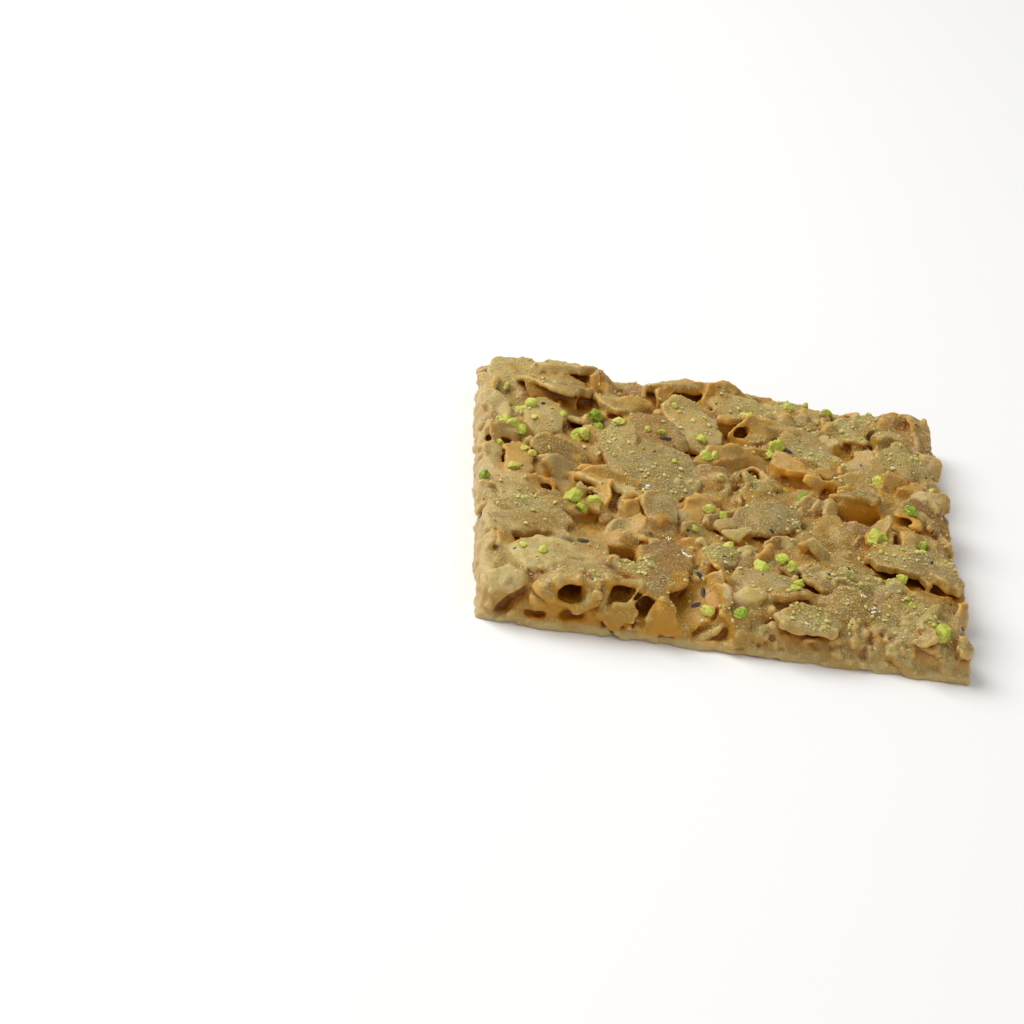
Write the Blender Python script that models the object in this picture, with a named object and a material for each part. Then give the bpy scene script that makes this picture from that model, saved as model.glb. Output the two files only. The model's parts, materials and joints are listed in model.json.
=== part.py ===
"""One square piece of almond brittle: flaked almonds set in cooked toffee, with chopped pistachio on top.

The toffee was poured on a flat tray, so its underside is flat and carries a thin, even skin. Flaked
almonds lie in it at every angle, the gaps between them are small hollows, and nibs of pistachio
stick to the top. It is all one solid. Sizes are in millimetres until they reach the mesh.
"""

import math

import bmesh
import bpy
import numpy as np
from mathutils import Matrix, Vector
from mathutils.bvhtree import BVHTree

MM = 0.001
SEED = 27

# Driving dimensions, in millimetres.
SIDE_X = 76.0
SIDE_Y = 76.0
SKIN_HEIGHT = 1.4  # the even skin that set against the tray
SKIN_LIP = 0.8  # how far that skin reaches past the toffee above it
SIDE_SLOPE = 1.7  # how far the toffee between the flakes draws in from its foot to its top
TOFFEE_HEIGHT = 6.1  # mean height of the toffee between the flakes
TOFFEE_SWELL = 0.55  # how much that height rises and falls
CORNER_THINNING = 2.4  # how much lower the toffee is at the front right corner
EDGE_WOBBLE = 0.5  # how far the cut edges stray from straight
FLAKE_THICKNESS = 1.3  # a sliced almond with its coat of toffee
FLAKE_TAPER = 0.28  # how much narrower a flake is at its pointed end
FLAKE_FLATNESS = 0.5  # below 1 the flat faces reach further towards the rim
SIDE_CURL = 0.35  # a flake's curl across, as a share of its curl along
FILL_SPACING = 16.0  # spacing of the smaller flakes between the large ones
FILL_LENGTH = (7.0, 10.5)
SIDE_FLAKES = 6  # flakes that show edge-on in each of the sides without large ones
NIB_HEIGHT = 0.72  # a nib's height as a share of its width
TOFFEE_COLUMNS = 14  # faces along each side of the toffee's top
FLAKE_SIDES = 8
NIB_SINK = 0.3  # share of a nib's height that is in the toffee

# The flakes that show best. Each row is x, y, z of the middle, length, width, then in degrees the
# direction that the flake faces (0 is +X, 90 is +Y), how far it leans from flat, and the turn of its
# long axis from the downhill line, and last the curl: above 0 its ends bend down, below 0 up.
FLAKES = (
    (-26.3, -27.0, 7.3, 15, 10, -100, 18, 98, 0.6),
    (-34.6, -33.0, 6.0, 10, 8, -100, 34, 70, 0.8),
    (-29.0, -36.2, 4.2, 8, 6, -92, 60, 90, 0.4),
    (-22.8, -36.4, 5.0, 8, 5, -105, 58, 60, -1.2),
    (-22.0, -32.0, 7.8, 10, 7, -80, 28, 80, 0.5),
    (-31.2, -16.8, 7.2, 14, 8, -90, 22, 88, 0.5),
    (-9.8, -27.5, 7.6, 15, 9, -85, 30, 5, 0.9),
    (-19.2, -31.0, 7.0, 9, 5, 178, 72, 10, 0.3),
    (-4.4, -34.4, 5.3, 14, 8.5, -140, 48, 35, -2.2),
    (-2.4, -35.8, 4.5, 14, 9.5, -136, 50, 32, -2.0),
    (-9.4, -36.6, 3.9, 7, 6, -90, 62, 5, 0.4),
    (-17.2, -36.8, 3.2, 9, 5.5, -85, 58, 82, 0.5),
    (11.4, -35.0, 5.5, 12, 8.5, -95, 34, 85, 0.7),
    (11.5, -29.6, 7.2, 11, 6, 85, 14, 86, 0.8),
    (5.7, -26.0, 6.8, 6, 4.5, -60, 30, 30, 0.6),
    (0.5, -19.5, 7.2, 13, 9, -70, 15, 70, 0.6),
    (15.7, -22.0, 6.8, 10, 6, -80, 20, 118, 0.4),
    (29.4, -18.5, 7.0, 17, 6, -115, 56, 90, 0.8),
    (8.6, -4.8, 7.6, 16.5, 11.5, -90, 14, 80, 0.7),
    (23.4, 0.8, 7.0, 9, 7, -90, 62, 88, -1.2),
    (30.5, 9.0, 7.0, 10, 7, -95, 56, 85, -0.7),
    (17.6, 6.4, 7.0, 8, 6, -70, 60, 80, 0.5),
    (2.6, 11.0, 7.6, 10, 6, -60, 50, 90, 0.5),
    (11.8, 10.6, 7.4, 11, 5, -115, 50, 90, 0.5),
    (8.6, 22.5, 7.4, 13, 6.5, -80, 52, 88, -1.2),
    (-3.2, 23.5, 7.5, 12, 8, -60, 30, 60, 0.8),
    (-10.4, 17.8, 7.6, 10.5, 7.5, -110, 26, 110, 0.7),
    (-25.6, 28.5, 8.3, 15, 8, 70, 22, 85, 1.3),
    (-17.8, 30.4, 7.2, 11, 7, -20, 60, 75, -0.6),
    (-12.6, 29.6, 6.9, 9, 6, -170, 56, 60, 0.5),
    (-3.8, 33.6, 7.2, 12, 6, -80, 50, 88, -1.0),
    (3.2, 33.6, 6.9, 9, 6, -75, 50, 85, -0.6),
    (-27.6, 20.0, 7.2, 10.5, 9.5, -80, 26, 20, 0.6),
    (-9.0, 5.0, 7.8, 17, 12.5, -75, 18, 120, 0.9),
    (-15.8, 11.5, 8.0, 11, 6, -150, 30, 70, 0.7),
    (-16.3, -2.0, 7.4, 12, 5, -95, 48, 80, 0.5),
    (-34.2, 10.0, 6.6, 8, 6, -60, 50, 85, 0.3),
    (-30.3, 2.5, 6.9, 13, 8, -85, 40, 10, 0.5),
    (31.4, 29.3, 7.4, 14, 11, -110, 33, 20, 0.7),
    (35.2, 30.0, 6.8, 11, 5, 2, 60, 90, 0.5),
    (22.6, 27.5, 7.2, 12, 9, -130, 25, 30, 0.6),
    (32.6, 17.5, 6.8, 12, 10, -80, 22, 60, 0.6),
    (15.7, 17.5, 7.0, 12, 10, -60, 18, 40, 0.6),
    (24.4, 14.0, 6.8, 10, 7, -130, 38, 60, 0.5),
    (6.4, 29.4, 6.9, 12, 7.5, -75, 20, 60, 0.6),
    (15.2, 31.8, 6.4, 12, 8, -80, 16, 100, 0.6),
    (-30.0, 33.2, 7.2, 13, 8, -90, 12, 90, 0.5),
    (28.4, -8.0, 6.9, 8, 6, -120, 38, 50, 0.4),
    (-3.4, -7.5, 6.9, 9, 7, -80, 34, 80, 0.4),
    (-13.3, -9.0, 7.0, 8, 6, -60, 50, 70, 0.4),
    (-24.8, 0.5, 7.0, 12, 6, -20, 50, 60, 0.5),
    (-32.6, -7.5, 6.5, 10, 8, -90, 20, 60, 0.4),
    (33.4, 1.0, 6.6, 9, 7, -60, 33, 50, 0.4),
    (19.7, -30.0, 6.2, 9, 7, -90, 25, 70, 0.4),
    (27.4, -29.0, 6.0, 11, 9, -90, 20, 50, 0.5),
    (32.8, -33.4, 5.0, 8, 7, -40, 22, 40, 0.4),
)

# Hollows between the flakes: x, y, z of the middle, then half the width, depth and height.
HOLLOWS = (
    (-24.5, -37.0, 7.2, 1.9, 3.2, 1.6),
    (-16.3, -36.4, 7.0, 1.9, 3.2, 1.7),
    (-15.8, -22.6, 7.6, 2.1, 2.4, 2.2),
    (-12.1, -36.8, 6.0, 1.5, 2.6, 1.6),
    (-3.6, -33.2, 8.4, 3.0, 3.2, 2.4),
    (-32.8, -38.0, 4.2, 2.0, 2.4, 0.9),
    (-22.8, -38.0, 2.9, 2.2, 2.2, 0.8),
    (8.8, -32.6, 7.2, 2.2, 1.5, 0.8),
    (-22.9, -16.0, 7.2, 1.8, 2.2, 1.5),
    (-22.0, 23.6, 7.6, 2.4, 3.0, 1.9),
    (3.4, 23.0, 7.0, 1.7, 2.8, 1.8),
    (17.6, 2.6, 7.0, 1.6, 3.0, 1.7),
    (-3.6, 31.6, 7.6, 2.0, 1.6, 1.3),
    (21.0, 12.0, 7.2, 1.0, 3.2, 1.3),
    (-9.8, 26.6, 7.6, 1.3, 2.8, 1.4),
    (23.6, -2.8, 7.0, 3.0, 1.9, 1.7),
    (33.4, -22.0, 6.6, 2.0, 1.4, 1.0),
)

# The larger nibs of chopped pistachio: x, y of the middle and the width.
NIBS = (
    (-31.0, 24.4, 2.5),
    (-33.4, 16.6, 3.4),
    (-21.4, 18.0, 3.2),
    (-18.6, 22.6, 2.6),
    (-23.4, -7.8, 3.4),
    (-19.4, -5.6, 3.0),
    (-36.0, -1.0, 2.2),
    (-15.8, 18.6, 2.2),
    (-9.0, 12.0, 1.8),
    (-6.0, 14.6, 1.8),
    (-1.4, 19.0, 2.2),
    (-1.2, 12.4, 2.6),
    (-5.0, 32.0, 2.2),
    (6.6, 29.4, 2.4),
    (9.0, 28.6, 1.8),
    (15.2, 28.0, 2.6),
    (10.8, 20.6, 2.4),
    (13.8, 33.6, 2.4),
    (27.4, 12.6, 3.0),
    (14.6, 5.4, 2.2),
    (31.4, 2.0, 2.4),
    (24.6, -7.4, 3.4),
    (30.6, -6.8, 1.8),
    (1.4, -14.0, 2.6),
    (-1.8, -4.6, 2.4),
    (5.6, -21.4, 2.8),
    (9.4, -18.6, 2.2),
    (11.2, -23.8, 2.0),
    (26.6, -18.4, 2.8),
    (22.0, -23.4, 1.8),
    (33.6, -32.4, 3.0),
    (17.6, -18.2, 1.8),
    (27.0, -36.2, 2.2),
    (-26.6, -28.4, 1.8),
    (2.4, -36.4, 2.0),
    (-27.6, 12.6, 1.6),
    (21.4, 35.0, 2.0),
    (31.4, -14.4, 1.6),
)


def swell(x, y):
    """Height of the toffee between the flakes: slow waves, thinning towards the front right corner."""
    thin = CORNER_THINNING * min(1.0, max(0.0, (x - y) / SIDE_X - 0.4))
    waves = (
        math.sin(0.23 * x + 1.3) * math.cos(0.19 * y - 0.4)
        + 0.7 * math.sin(0.41 * y + 0.17 * x)
        + 0.5 * math.cos(0.53 * x - 0.31 * y + 2.0)
    )
    return TOFFEE_HEIGHT + TOFFEE_SWELL * waves - thin


def wobble(along, phase):
    """How far a cut edge strays outwards at a place along it."""
    return EDGE_WOBBLE * (
        math.sin(0.29 * along + phase) + 0.6 * math.sin(0.83 * along + 2.1 * phase)
    )


def outline(s, t, inset):
    """Point of the slab's plan for s and t from -1 to 1, with wobbling edges."""
    half_x = SIDE_X / 2 - inset
    half_y = SIDE_Y / 2 - inset
    x = s * (half_x + wobble(t * half_y, 0.4 if s < 0 else 6.3) - EDGE_WOBBLE)
    y = t * (half_y + wobble(s * half_x, 2.7 if t < 0 else 3.6) - EDGE_WOBBLE)
    return x, y


def new_object(name, shape, collection):
    mesh = bpy.data.meshes.new(name)
    bmesh.ops.recalc_face_normals(shape, faces=shape.faces)
    shape.to_mesh(mesh)
    shape.free()
    made = bpy.data.objects.new(name, mesh)
    collection.objects.link(made)
    return made


def make_layer(name, columns, inset, slope, top, collection):
    """A slab from the tray up to top(x, y): a grid for its top, its rim drawn down and out to the tray."""
    shape = bmesh.new()
    bmesh.ops.create_grid(shape, x_segments=columns, y_segments=columns, size=1.0)
    for vert in shape.verts:
        x, y = outline(vert.co.x, vert.co.y, inset + slope)
        vert.co = Vector((x, y, top(x, y))) * MM
    rim = [edge for edge in shape.edges if edge.is_boundary]
    drawn = bmesh.ops.extrude_edge_only(shape, edges=rim)["geom"]
    spread = (SIDE_X / 2 - inset) / (SIDE_X / 2 - inset - slope)
    for vert in (item for item in drawn if isinstance(item, bmesh.types.BMVert)):
        vert.co = Vector((vert.co.x * spread, vert.co.y * spread, 0.0))
    foot = [edge for edge in shape.edges if edge.is_boundary]
    bmesh.ops.contextual_create(shape, geom=foot)
    return new_object(name, shape, collection)


def flake_matrix(x, y, z, faces, lean, turn):
    return (
        Matrix.Translation((x * MM, y * MM, z * MM))
        @ Matrix.Rotation(math.radians(faces), 4, "Z")
        @ Matrix.Rotation(math.radians(lean), 4, "Y")
        @ Matrix.Rotation(math.radians(turn), 4, "Z")
    )


def make_flake(row, sides, collection):
    """A sliced almond: a sphere pressed to a plate with a soft rim, pointed at one end and curled."""
    x, y, z, length, width, faces, lean, turn, curl = row
    shape = bmesh.new()
    bmesh.ops.create_uvsphere(shape, u_segments=sides, v_segments=4, radius=1.0)
    for vert in shape.verts:
        share = math.hypot(vert.co.x, vert.co.y) ** FLAKE_FLATNESS
        angle = math.atan2(vert.co.y, vert.co.x)
        height = max(-1.0, min(1.0, vert.co.z * 1.6))
        u = share * math.cos(angle)
        v = share * math.sin(angle) * (1 - FLAKE_TAPER * u)
        bend = curl * (u * u + SIDE_CURL * v * v)
        vert.co = Vector(
            (u * length / 2, v * width / 2, height * FLAKE_THICKNESS / 2 - bend)
        )
        vert.co *= MM
    bmesh.ops.transform(
        shape, matrix=flake_matrix(x, y, z, faces, lean, turn), verts=shape.verts
    )
    return new_object("flake", shape, collection)


def fill_flakes():
    """Rows for the smaller flakes: one in each cell of a grid, strewn by a seeded draw."""
    draw = np.random.default_rng(SEED)
    cells = int(SIDE_X // FILL_SPACING)
    rows = []
    for i in range(cells):
        for j in range(cells):
            at = [
                (k - (cells - 1) / 2) * FILL_SPACING + draw.uniform(-3.0, 3.0)
                for k in (i, j)
            ]
            length = draw.uniform(*FILL_LENGTH)
            faces = draw.uniform(-180, 180)
            lean = draw.uniform(8, 48)
            turn = draw.uniform(0, 180)
            z = swell(*at) + draw.uniform(0.1, 0.9)
            rows.append((*at, z, length, 0.66 * length, faces, lean, turn, 0.4))
    return rows


def side_flakes():
    """Rows for the steep flakes in the left, right and back sides, strewn by a seeded draw."""
    draw = np.random.default_rng(SEED + 2)
    rows = []
    for faces in (180, 0, 90):
        turn_to = math.radians(faces)
        for k in range(SIDE_FLAKES):
            along = (k - (SIDE_FLAKES - 1) / 2) * SIDE_X / SIDE_FLAKES + draw.uniform(-2, 2)
            out = SIDE_X / 2 - draw.uniform(1.2, 2.2)
            x = out * math.cos(turn_to) - along * math.sin(turn_to)
            y = out * math.sin(turn_to) + along * math.cos(turn_to)
            z = draw.uniform(3.0, 4.4)
            length = draw.uniform(8.0, 12.0)
            lean = draw.uniform(52, 80)
            turn = draw.uniform(65, 115)
            rows.append((x, y, z, length, 5.0, faces + draw.uniform(-15, 15), lean, turn, 0.4))
    return rows


def make_cut_block(collection):
    """The slab's cut faces: everything outside this block was cut away, and nothing is below the tray."""
    shape = bmesh.new()
    bmesh.ops.create_cube(shape, size=1.0)
    size = Matrix.Diagonal((SIDE_X, SIDE_Y, 4 * TOFFEE_HEIGHT, 1.0))
    bmesh.ops.transform(shape, matrix=size, verts=shape.verts)
    for vert in shape.verts:
        vert.co = (vert.co + Vector((0, 0, 2 * TOFFEE_HEIGHT))) * MM
    return new_object("cut_block", shape, collection)


def make_hollow(row, collection):
    x, y, z, *half = row
    shape = bmesh.new()
    bmesh.ops.create_uvsphere(shape, u_segments=8, v_segments=6, radius=1.0)
    size = Matrix.Diagonal((*half, 1.0))
    bmesh.ops.transform(shape, matrix=size, verts=shape.verts)
    for vert in shape.verts:
        vert.co = (vert.co + Vector((x, y, z))) * MM
    made = new_object("hollow", shape, collection)
    made.hide_render = True
    made.display_type = "WIRE"
    return made


def make_nib(x, y, z, width, draw, collection):
    """A chip of pistachio: a coarse ball knocked out of round."""
    shape = bmesh.new()
    bmesh.ops.create_icosphere(shape, subdivisions=1, radius=1.0)
    for vert in shape.verts:
        vert.co *= draw.uniform(0.8, 1.1)
        vert.co.z *= NIB_HEIGHT
        vert.co *= width / 2
    lift = NIB_HEIGHT * width * (0.5 - NIB_SINK)
    place = Matrix.Rotation(draw.uniform(0, 6.28), 4, "Z")
    bmesh.ops.transform(shape, matrix=place, verts=shape.verts)
    for vert in shape.verts:
        vert.co = (vert.co + Vector((x, y, z + lift))) * MM
    return new_object("nib", shape, collection)


def bake(target):
    """The object's modifiers become its mesh."""
    graph = bpy.context.evaluated_depsgraph_get()
    result = bpy.data.meshes.new_from_object(target.evaluated_get(graph))
    target.modifiers.clear()
    target.data = result


def combine(target, collection, operation):
    """One Boolean with all of a collection, applied, and the collection's objects removed."""
    boolean = target.modifiers.new(operation.lower(), "BOOLEAN")
    boolean.operation = operation
    boolean.operand_type = "COLLECTION"
    boolean.collection = collection
    boolean.solver = "MANIFOLD"
    bake(target)
    for used in list(collection.objects):
        bpy.data.objects.remove(used)
    bpy.data.collections.remove(collection)


def keep_largest_shell(target):
    """Drops loose scraps and fills hollows that the union sealed, by keeping the outer shell alone."""
    shape = bmesh.new()
    shape.from_mesh(target.data)
    left = set(shape.verts)
    shells = []
    while left:
        edge_of_search = [left.pop()]
        shell = list(edge_of_search)
        while edge_of_search:
            vert = edge_of_search.pop()
            for edge in vert.link_edges:
                other = edge.other_vert(vert)
                if other in left:
                    left.remove(other)
                    shell.append(other)
                    edge_of_search.append(other)
        shells.append(shell)
    shells.sort(key=len)
    for shell in shells[:-1]:
        bmesh.ops.delete(shape, geom=shell, context="VERTS")
    shape.to_mesh(target.data)
    shape.free()
    print("loose shells dropped:", len(shells) - 1)


def surface_height(target, x, y):
    """Top of the object at a place, in millimetres."""
    shape = bmesh.new()
    shape.from_mesh(target.data)
    tree = BVHTree.FromBMesh(shape)
    shape.free()
    hit = tree.ray_cast(Vector((x, y, 30.0)) * MM, Vector((0, 0, -1)))[0]
    return hit.z / MM if hit else None


def new_collection(name):
    made = bpy.data.collections.new(name)
    bpy.context.scene.collection.children.link(made)
    return made


def brittle_material():
    made = bpy.data.materials.new("toffee_and_almond")
    made.use_nodes = True
    shader = made.node_tree.nodes["Principled BSDF"]
    shader.inputs["Base Color"].default_value = (0.42, 0.25, 0.085, 1.0)
    shader.inputs["Roughness"].default_value = 0.45
    shader.inputs["Metallic"].default_value = 0.0
    return made


def main():
    for old in list(bpy.data.objects):
        bpy.data.objects.remove(old)
    home = new_collection("almond_brittle")

    brittle = make_layer("brittle", TOFFEE_COLUMNS, SKIN_LIP, SIDE_SLOPE, swell, home)
    joined = new_collection("joined")
    make_layer("skin", TOFFEE_COLUMNS, 0.0, 0.2, lambda x, y: SKIN_HEIGHT, joined)
    for row in FLAKES:
        make_flake(row, FLAKE_SIDES, joined)
    for row in fill_flakes() + side_flakes():
        make_flake(row, FLAKE_SIDES - 1, joined)
    combine(brittle, joined, "UNION")
    cut = new_collection("cut")
    make_cut_block(cut)
    combine(brittle, cut, "INTERSECT")
    keep_largest_shell(brittle)

    cutters = new_collection("cutters")
    for row in HOLLOWS:
        make_hollow(row, cutters)
    combine(brittle, cutters, "DIFFERENCE")
    keep_largest_shell(brittle)

    toppings = new_collection("toppings")
    draw = np.random.default_rng(SEED + 1)
    for x, y, width in NIBS:
        make_nib(x, y, surface_height(brittle, x, y), width, draw, toppings)
    combine(brittle, toppings, "UNION")
    keep_largest_shell(brittle)

    brittle.data.materials.clear()
    brittle.data.materials.append(brittle_material())
    for face in brittle.data.polygons:
        face.use_smooth = False


main()
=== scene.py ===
# %% [markdown]
# # A square of almond brittle
#
# Brittle is sugar cooked to a toffee and stirred full of flaked almonds. It is poured on a flat tray,
# strewn with chopped pistachio while it is still soft, and cut into squares. This lesson dresses the
# plain CAD solid of one square: first the toffee with its flakes, then the things strewn on it, then
# the light and the camera.
#
# All lengths below are in millimetres. They are turned to metres where a mesh is made.

# %% Load the frame
import itertools
import json
import math

import bmesh
import bpy
import numpy as np
from mathutils import Matrix, Vector
from mathutils.bvhtree import BVHTree

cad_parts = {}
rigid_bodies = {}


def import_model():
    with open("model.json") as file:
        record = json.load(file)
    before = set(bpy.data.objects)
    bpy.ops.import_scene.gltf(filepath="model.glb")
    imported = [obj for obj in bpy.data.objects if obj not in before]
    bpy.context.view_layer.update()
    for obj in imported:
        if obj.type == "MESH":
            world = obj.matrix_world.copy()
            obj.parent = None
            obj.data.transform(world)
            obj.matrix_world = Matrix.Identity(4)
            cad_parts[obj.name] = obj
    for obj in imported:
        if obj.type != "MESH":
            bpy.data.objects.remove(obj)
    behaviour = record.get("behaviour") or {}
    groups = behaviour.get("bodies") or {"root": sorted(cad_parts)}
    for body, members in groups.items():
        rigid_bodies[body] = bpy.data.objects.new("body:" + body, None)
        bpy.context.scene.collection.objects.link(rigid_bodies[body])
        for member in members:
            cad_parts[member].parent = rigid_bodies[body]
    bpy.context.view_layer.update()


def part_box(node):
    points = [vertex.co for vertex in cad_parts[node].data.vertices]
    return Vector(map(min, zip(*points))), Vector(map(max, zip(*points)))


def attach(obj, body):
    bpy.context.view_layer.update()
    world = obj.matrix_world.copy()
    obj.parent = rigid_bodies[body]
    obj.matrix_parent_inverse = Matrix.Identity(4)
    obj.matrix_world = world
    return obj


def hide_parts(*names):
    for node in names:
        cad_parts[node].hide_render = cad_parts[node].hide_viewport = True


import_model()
MM = 0.001
low, high = (np.array(corner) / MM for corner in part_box("brittle"))
SIDE = high - low
print("slab in mm:", np.round(SIDE, 1))

# %% [markdown]
# ## Where the flakes lie
#
# A flaked almond is a thin slice along the nut: about 15 mm long, 9 mm wide, pointed at one end, and
# a little curled. Set in toffee, every flake lies another way up. The large ones that show are listed
# one by one; the small ones between them are strewn by a seeded draw, as their exact places don't
# matter.
#
# Each row is x, y, z of the flake's middle, its length and width, the direction that it faces, how
# far it leans from flat, the turn of its long axis, its curl, and how it looks.

# %% The large flakes
FLAKES = (
    (-34.2, -33.0, 6.2, 10, 8, -95, 20, 80, 0.8, "tan"),
    (-28.8, -36.4, 4.2, 6, 4.5, -92, 60, 90, 0.4, "dusty"),
    (-21.8, -36.2, 5.6, 9, 5, -150, 55, 55, -1.2, "cream"),
    (-22.6, -32.6, 7.6, 11, 6, -80, 18, 80, 0.5, "cream"),
    (-19.8, -30.0, 6.0, 9, 5, 178, 72, 10, 0.3, "toffee"),
    (-4.4, -34.6, 2.4, 8, 5, -140, 30, 35, -0.6, "amber"),
    (-2.4, -35.2, 2.2, 8, 5, -136, 30, 32, -0.6, "amber"),
    (-10.2, -37.2, 3.7, 7, 6.5, -90, 64, 180, 0.3, "amber"),
    (-16.8, -37.2, 3.6, 7, 4.5, -86, 62, 85, 0.5, "toffee"),
    (5.7, -26.0, 6.8, 6, 4.5, -60, 30, 30, 0.6, "amber"),
    (23.2, 1.7, 6.2, 9, 4.6, -90, 70, 90, -0.2, "amber"),
    (30.5, 9.0, 7.0, 10, 7, -95, 56, 85, -0.7, "amber"),
    (17.6, 6.4, 7.0, 8, 6, -70, 60, 80, 0.5, "amber"),
    (2.6, 11.0, 7.6, 10, 6, -60, 50, 90, 0.5, "amber"),
    (11.8, 10.6, 7.4, 11, 5, -115, 50, 90, 0.5, "amber"),
    (8.6, 22.5, 7.4, 13, 6.5, -80, 52, 88, -1.2, "amber"),
    (-3.2, 23.5, 7.5, 12, 8, -60, 30, 60, 0.8, "tan"),
    (-25.6, 28.5, 8.3, 15, 8, 70, 22, 85, 1.3, "tan"),
    (-17.8, 30.4, 7.2, 11, 7, -20, 60, 75, -0.6, "amber"),
    (-12.6, 29.6, 6.9, 9, 6, -170, 56, 60, 0.5, "toffee"),
    (-3.8, 33.6, 7.2, 12, 6, -80, 50, 88, -1.0, "amber"),
    (3.2, 33.6, 6.9, 9, 6, -75, 50, 85, -0.6, "amber"),
    (-15.8, 11.5, 8.0, 11, 6, -150, 30, 70, 0.7, "cream"),
    (-16.3, -2.0, 7.4, 12, 5, -95, 48, 80, 0.5, "amber"),
    (-34.2, 10.0, 6.6, 8, 6, -60, 50, 85, 0.3, "amber"),
    (35.4, 29.0, 5.8, 11, 5, 2, 60, 90, 0.5, "toffee"),
    (22.6, 27.5, 7.2, 12, 9, -130, 25, 30, 0.6, "dusty"),
    (32.6, 17.5, 6.8, 12, 10, -80, 22, 60, 0.6, "dusty"),
    (15.7, 17.5, 7.0, 12, 10, -60, 18, 40, 0.6, "tan"),
    (24.4, 14.0, 6.8, 10, 7, -130, 38, 60, 0.5, "tan"),
    (6.4, 29.4, 6.9, 12, 7.5, -75, 20, 60, 0.6, "tan"),
    (15.2, 31.8, 6.4, 12, 8, -80, 16, 100, 0.6, "dusty"),
    (-30.0, 33.2, 7.2, 13, 8, -90, 12, 90, 0.5, "dusty"),
    (28.4, -8.0, 6.9, 8, 6, -120, 38, 50, 0.4, "tan"),
    (-3.4, -7.5, 6.9, 9, 7, -80, 34, 80, 0.4, "amber"),
    (-13.3, -9.0, 7.0, 8, 6, -60, 50, 70, 0.4, "amber"),
    (-24.8, 0.5, 7.0, 12, 6, -20, 50, 60, 0.5, "tan"),
    (-32.6, -7.5, 6.5, 10, 8, -90, 20, 60, 0.4, "tan"),
    (33.4, 1.0, 6.6, 9, 7, -60, 33, 50, 0.4, "toffee"),
    (19.7, -30.0, 6.2, 9, 7, -90, 25, 70, 0.4, "dusty"),
    (27.4, -29.0, 6.0, 11, 9, -90, 20, 50, 0.5, "dusty"),
    (32.8, -33.4, 5.0, 8, 7, -40, 22, 40, 0.4, "dusty"),
)
print("large flakes:", len(FLAKES))

# %% The small flakes and those in the sides
SEED = 27
FILL_SPACING = 16.0
FILL_LENGTH = (7.0, 10.5)
SIDE_FLAKES = 6
OTHER_SIDES = (180, 0, 90)
CRUMB_FLAKES, FRONT_BITS, SIDE_BITS = 290, 190, 300
TOFFEE_HEIGHT = 6.1
TOFFEE_SWELL = 0.55
CORNER_THINNING = 2.4


def swell(x, y):
    """Height of the toffee between the flakes: slow waves, thinning towards the front right corner."""
    thin = CORNER_THINNING * np.clip((x - y) / SIDE[0] - 0.4, 0.0, 1.0)
    waves = np.sin(0.23 * x + 1.3) * np.cos(0.19 * y - 0.4) + 0.7 * np.sin(0.41 * y + 0.17 * x)
    return TOFFEE_HEIGHT + TOFFEE_SWELL * (waves + 0.5 * np.cos(0.53 * x - 0.31 * y + 2.0)) - thin


# %% Draws for the small flakes
def draws(draw, *spans):
    """One even draw from each span, in turn."""
    return [draw.uniform(*span) for span in spans]


def at_side(faces, out, along):
    """x and y of a place in the side that faces that way."""
    turn = math.radians(faces)
    return out * math.cos(turn) - along * math.sin(turn), out * math.sin(turn) + along * math.cos(turn)


def fill_flakes():
    """The same draw as in the CAD solid, so that both have the same flakes."""
    draw = np.random.default_rng(SEED)
    places = int(SIDE[0] // FILL_SPACING)
    rows = []
    for i in range(places):
        for j in range(places):
            x, y = ((k - (places - 1) / 2) * FILL_SPACING + draw.uniform(-3.0, 3.0) for k in (i, j))
            length, faces, lean, turn, up = draws(
                draw, FILL_LENGTH, (-180, 180), (8, 48), (0, 180), (0.1, 0.9)
            )
            rows.append((x, y, swell(x, y) + up, length, 0.66 * length, faces, lean, turn, 0.4, "tan"))
    return rows


def side_flakes():
    """The steep flakes in the left, right and back sides, from the CAD solid's draw."""
    draw = np.random.default_rng(SEED + 2)
    rows = []
    for faces in OTHER_SIDES:
        for k in range(SIDE_FLAKES):
            along = (k - (SIDE_FLAKES - 1) / 2) * SIDE[0] / SIDE_FLAKES + draw.uniform(-2, 2)
            x, y = at_side(faces, SIDE[0] / 2 - draw.uniform(1.2, 2.2), along)
            z, length, lean, turn, off = draws(draw, (3.0, 4.4), (8.0, 12.0), (52, 80), (65, 115), (-15, 15))
            rows.append((x, y, z, length, 5.0, faces + off, lean, turn, 0.4, "side"))
    return rows


# %% Bits of broken flake
def crumb_flakes(count):
    """Bits of broken flake between the others: low relief that the plain solid leaves out."""
    draw = np.random.default_rng(SEED + 3)
    looks = ("tan", "toffee", "amber", "amber", "cream", "pink")
    rows = []
    for _ in range(count):
        x, y = draw.uniform(-36.6, 36.6, 2)
        length, up, narrow = draws(draw, (2.6, 6.5), (0.2, 1.3), (0.4, 0.7))
        faces, lean, turn = draw.normal(-80, 45), draw.uniform(10, 60), draw.normal(90, 30)
        look = looks[draw.integers(len(looks))]
        rows.append((x, y, swell(x, y) + up, length, length * narrow, faces, lean, turn, 0.3, look))
    return rows


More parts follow.
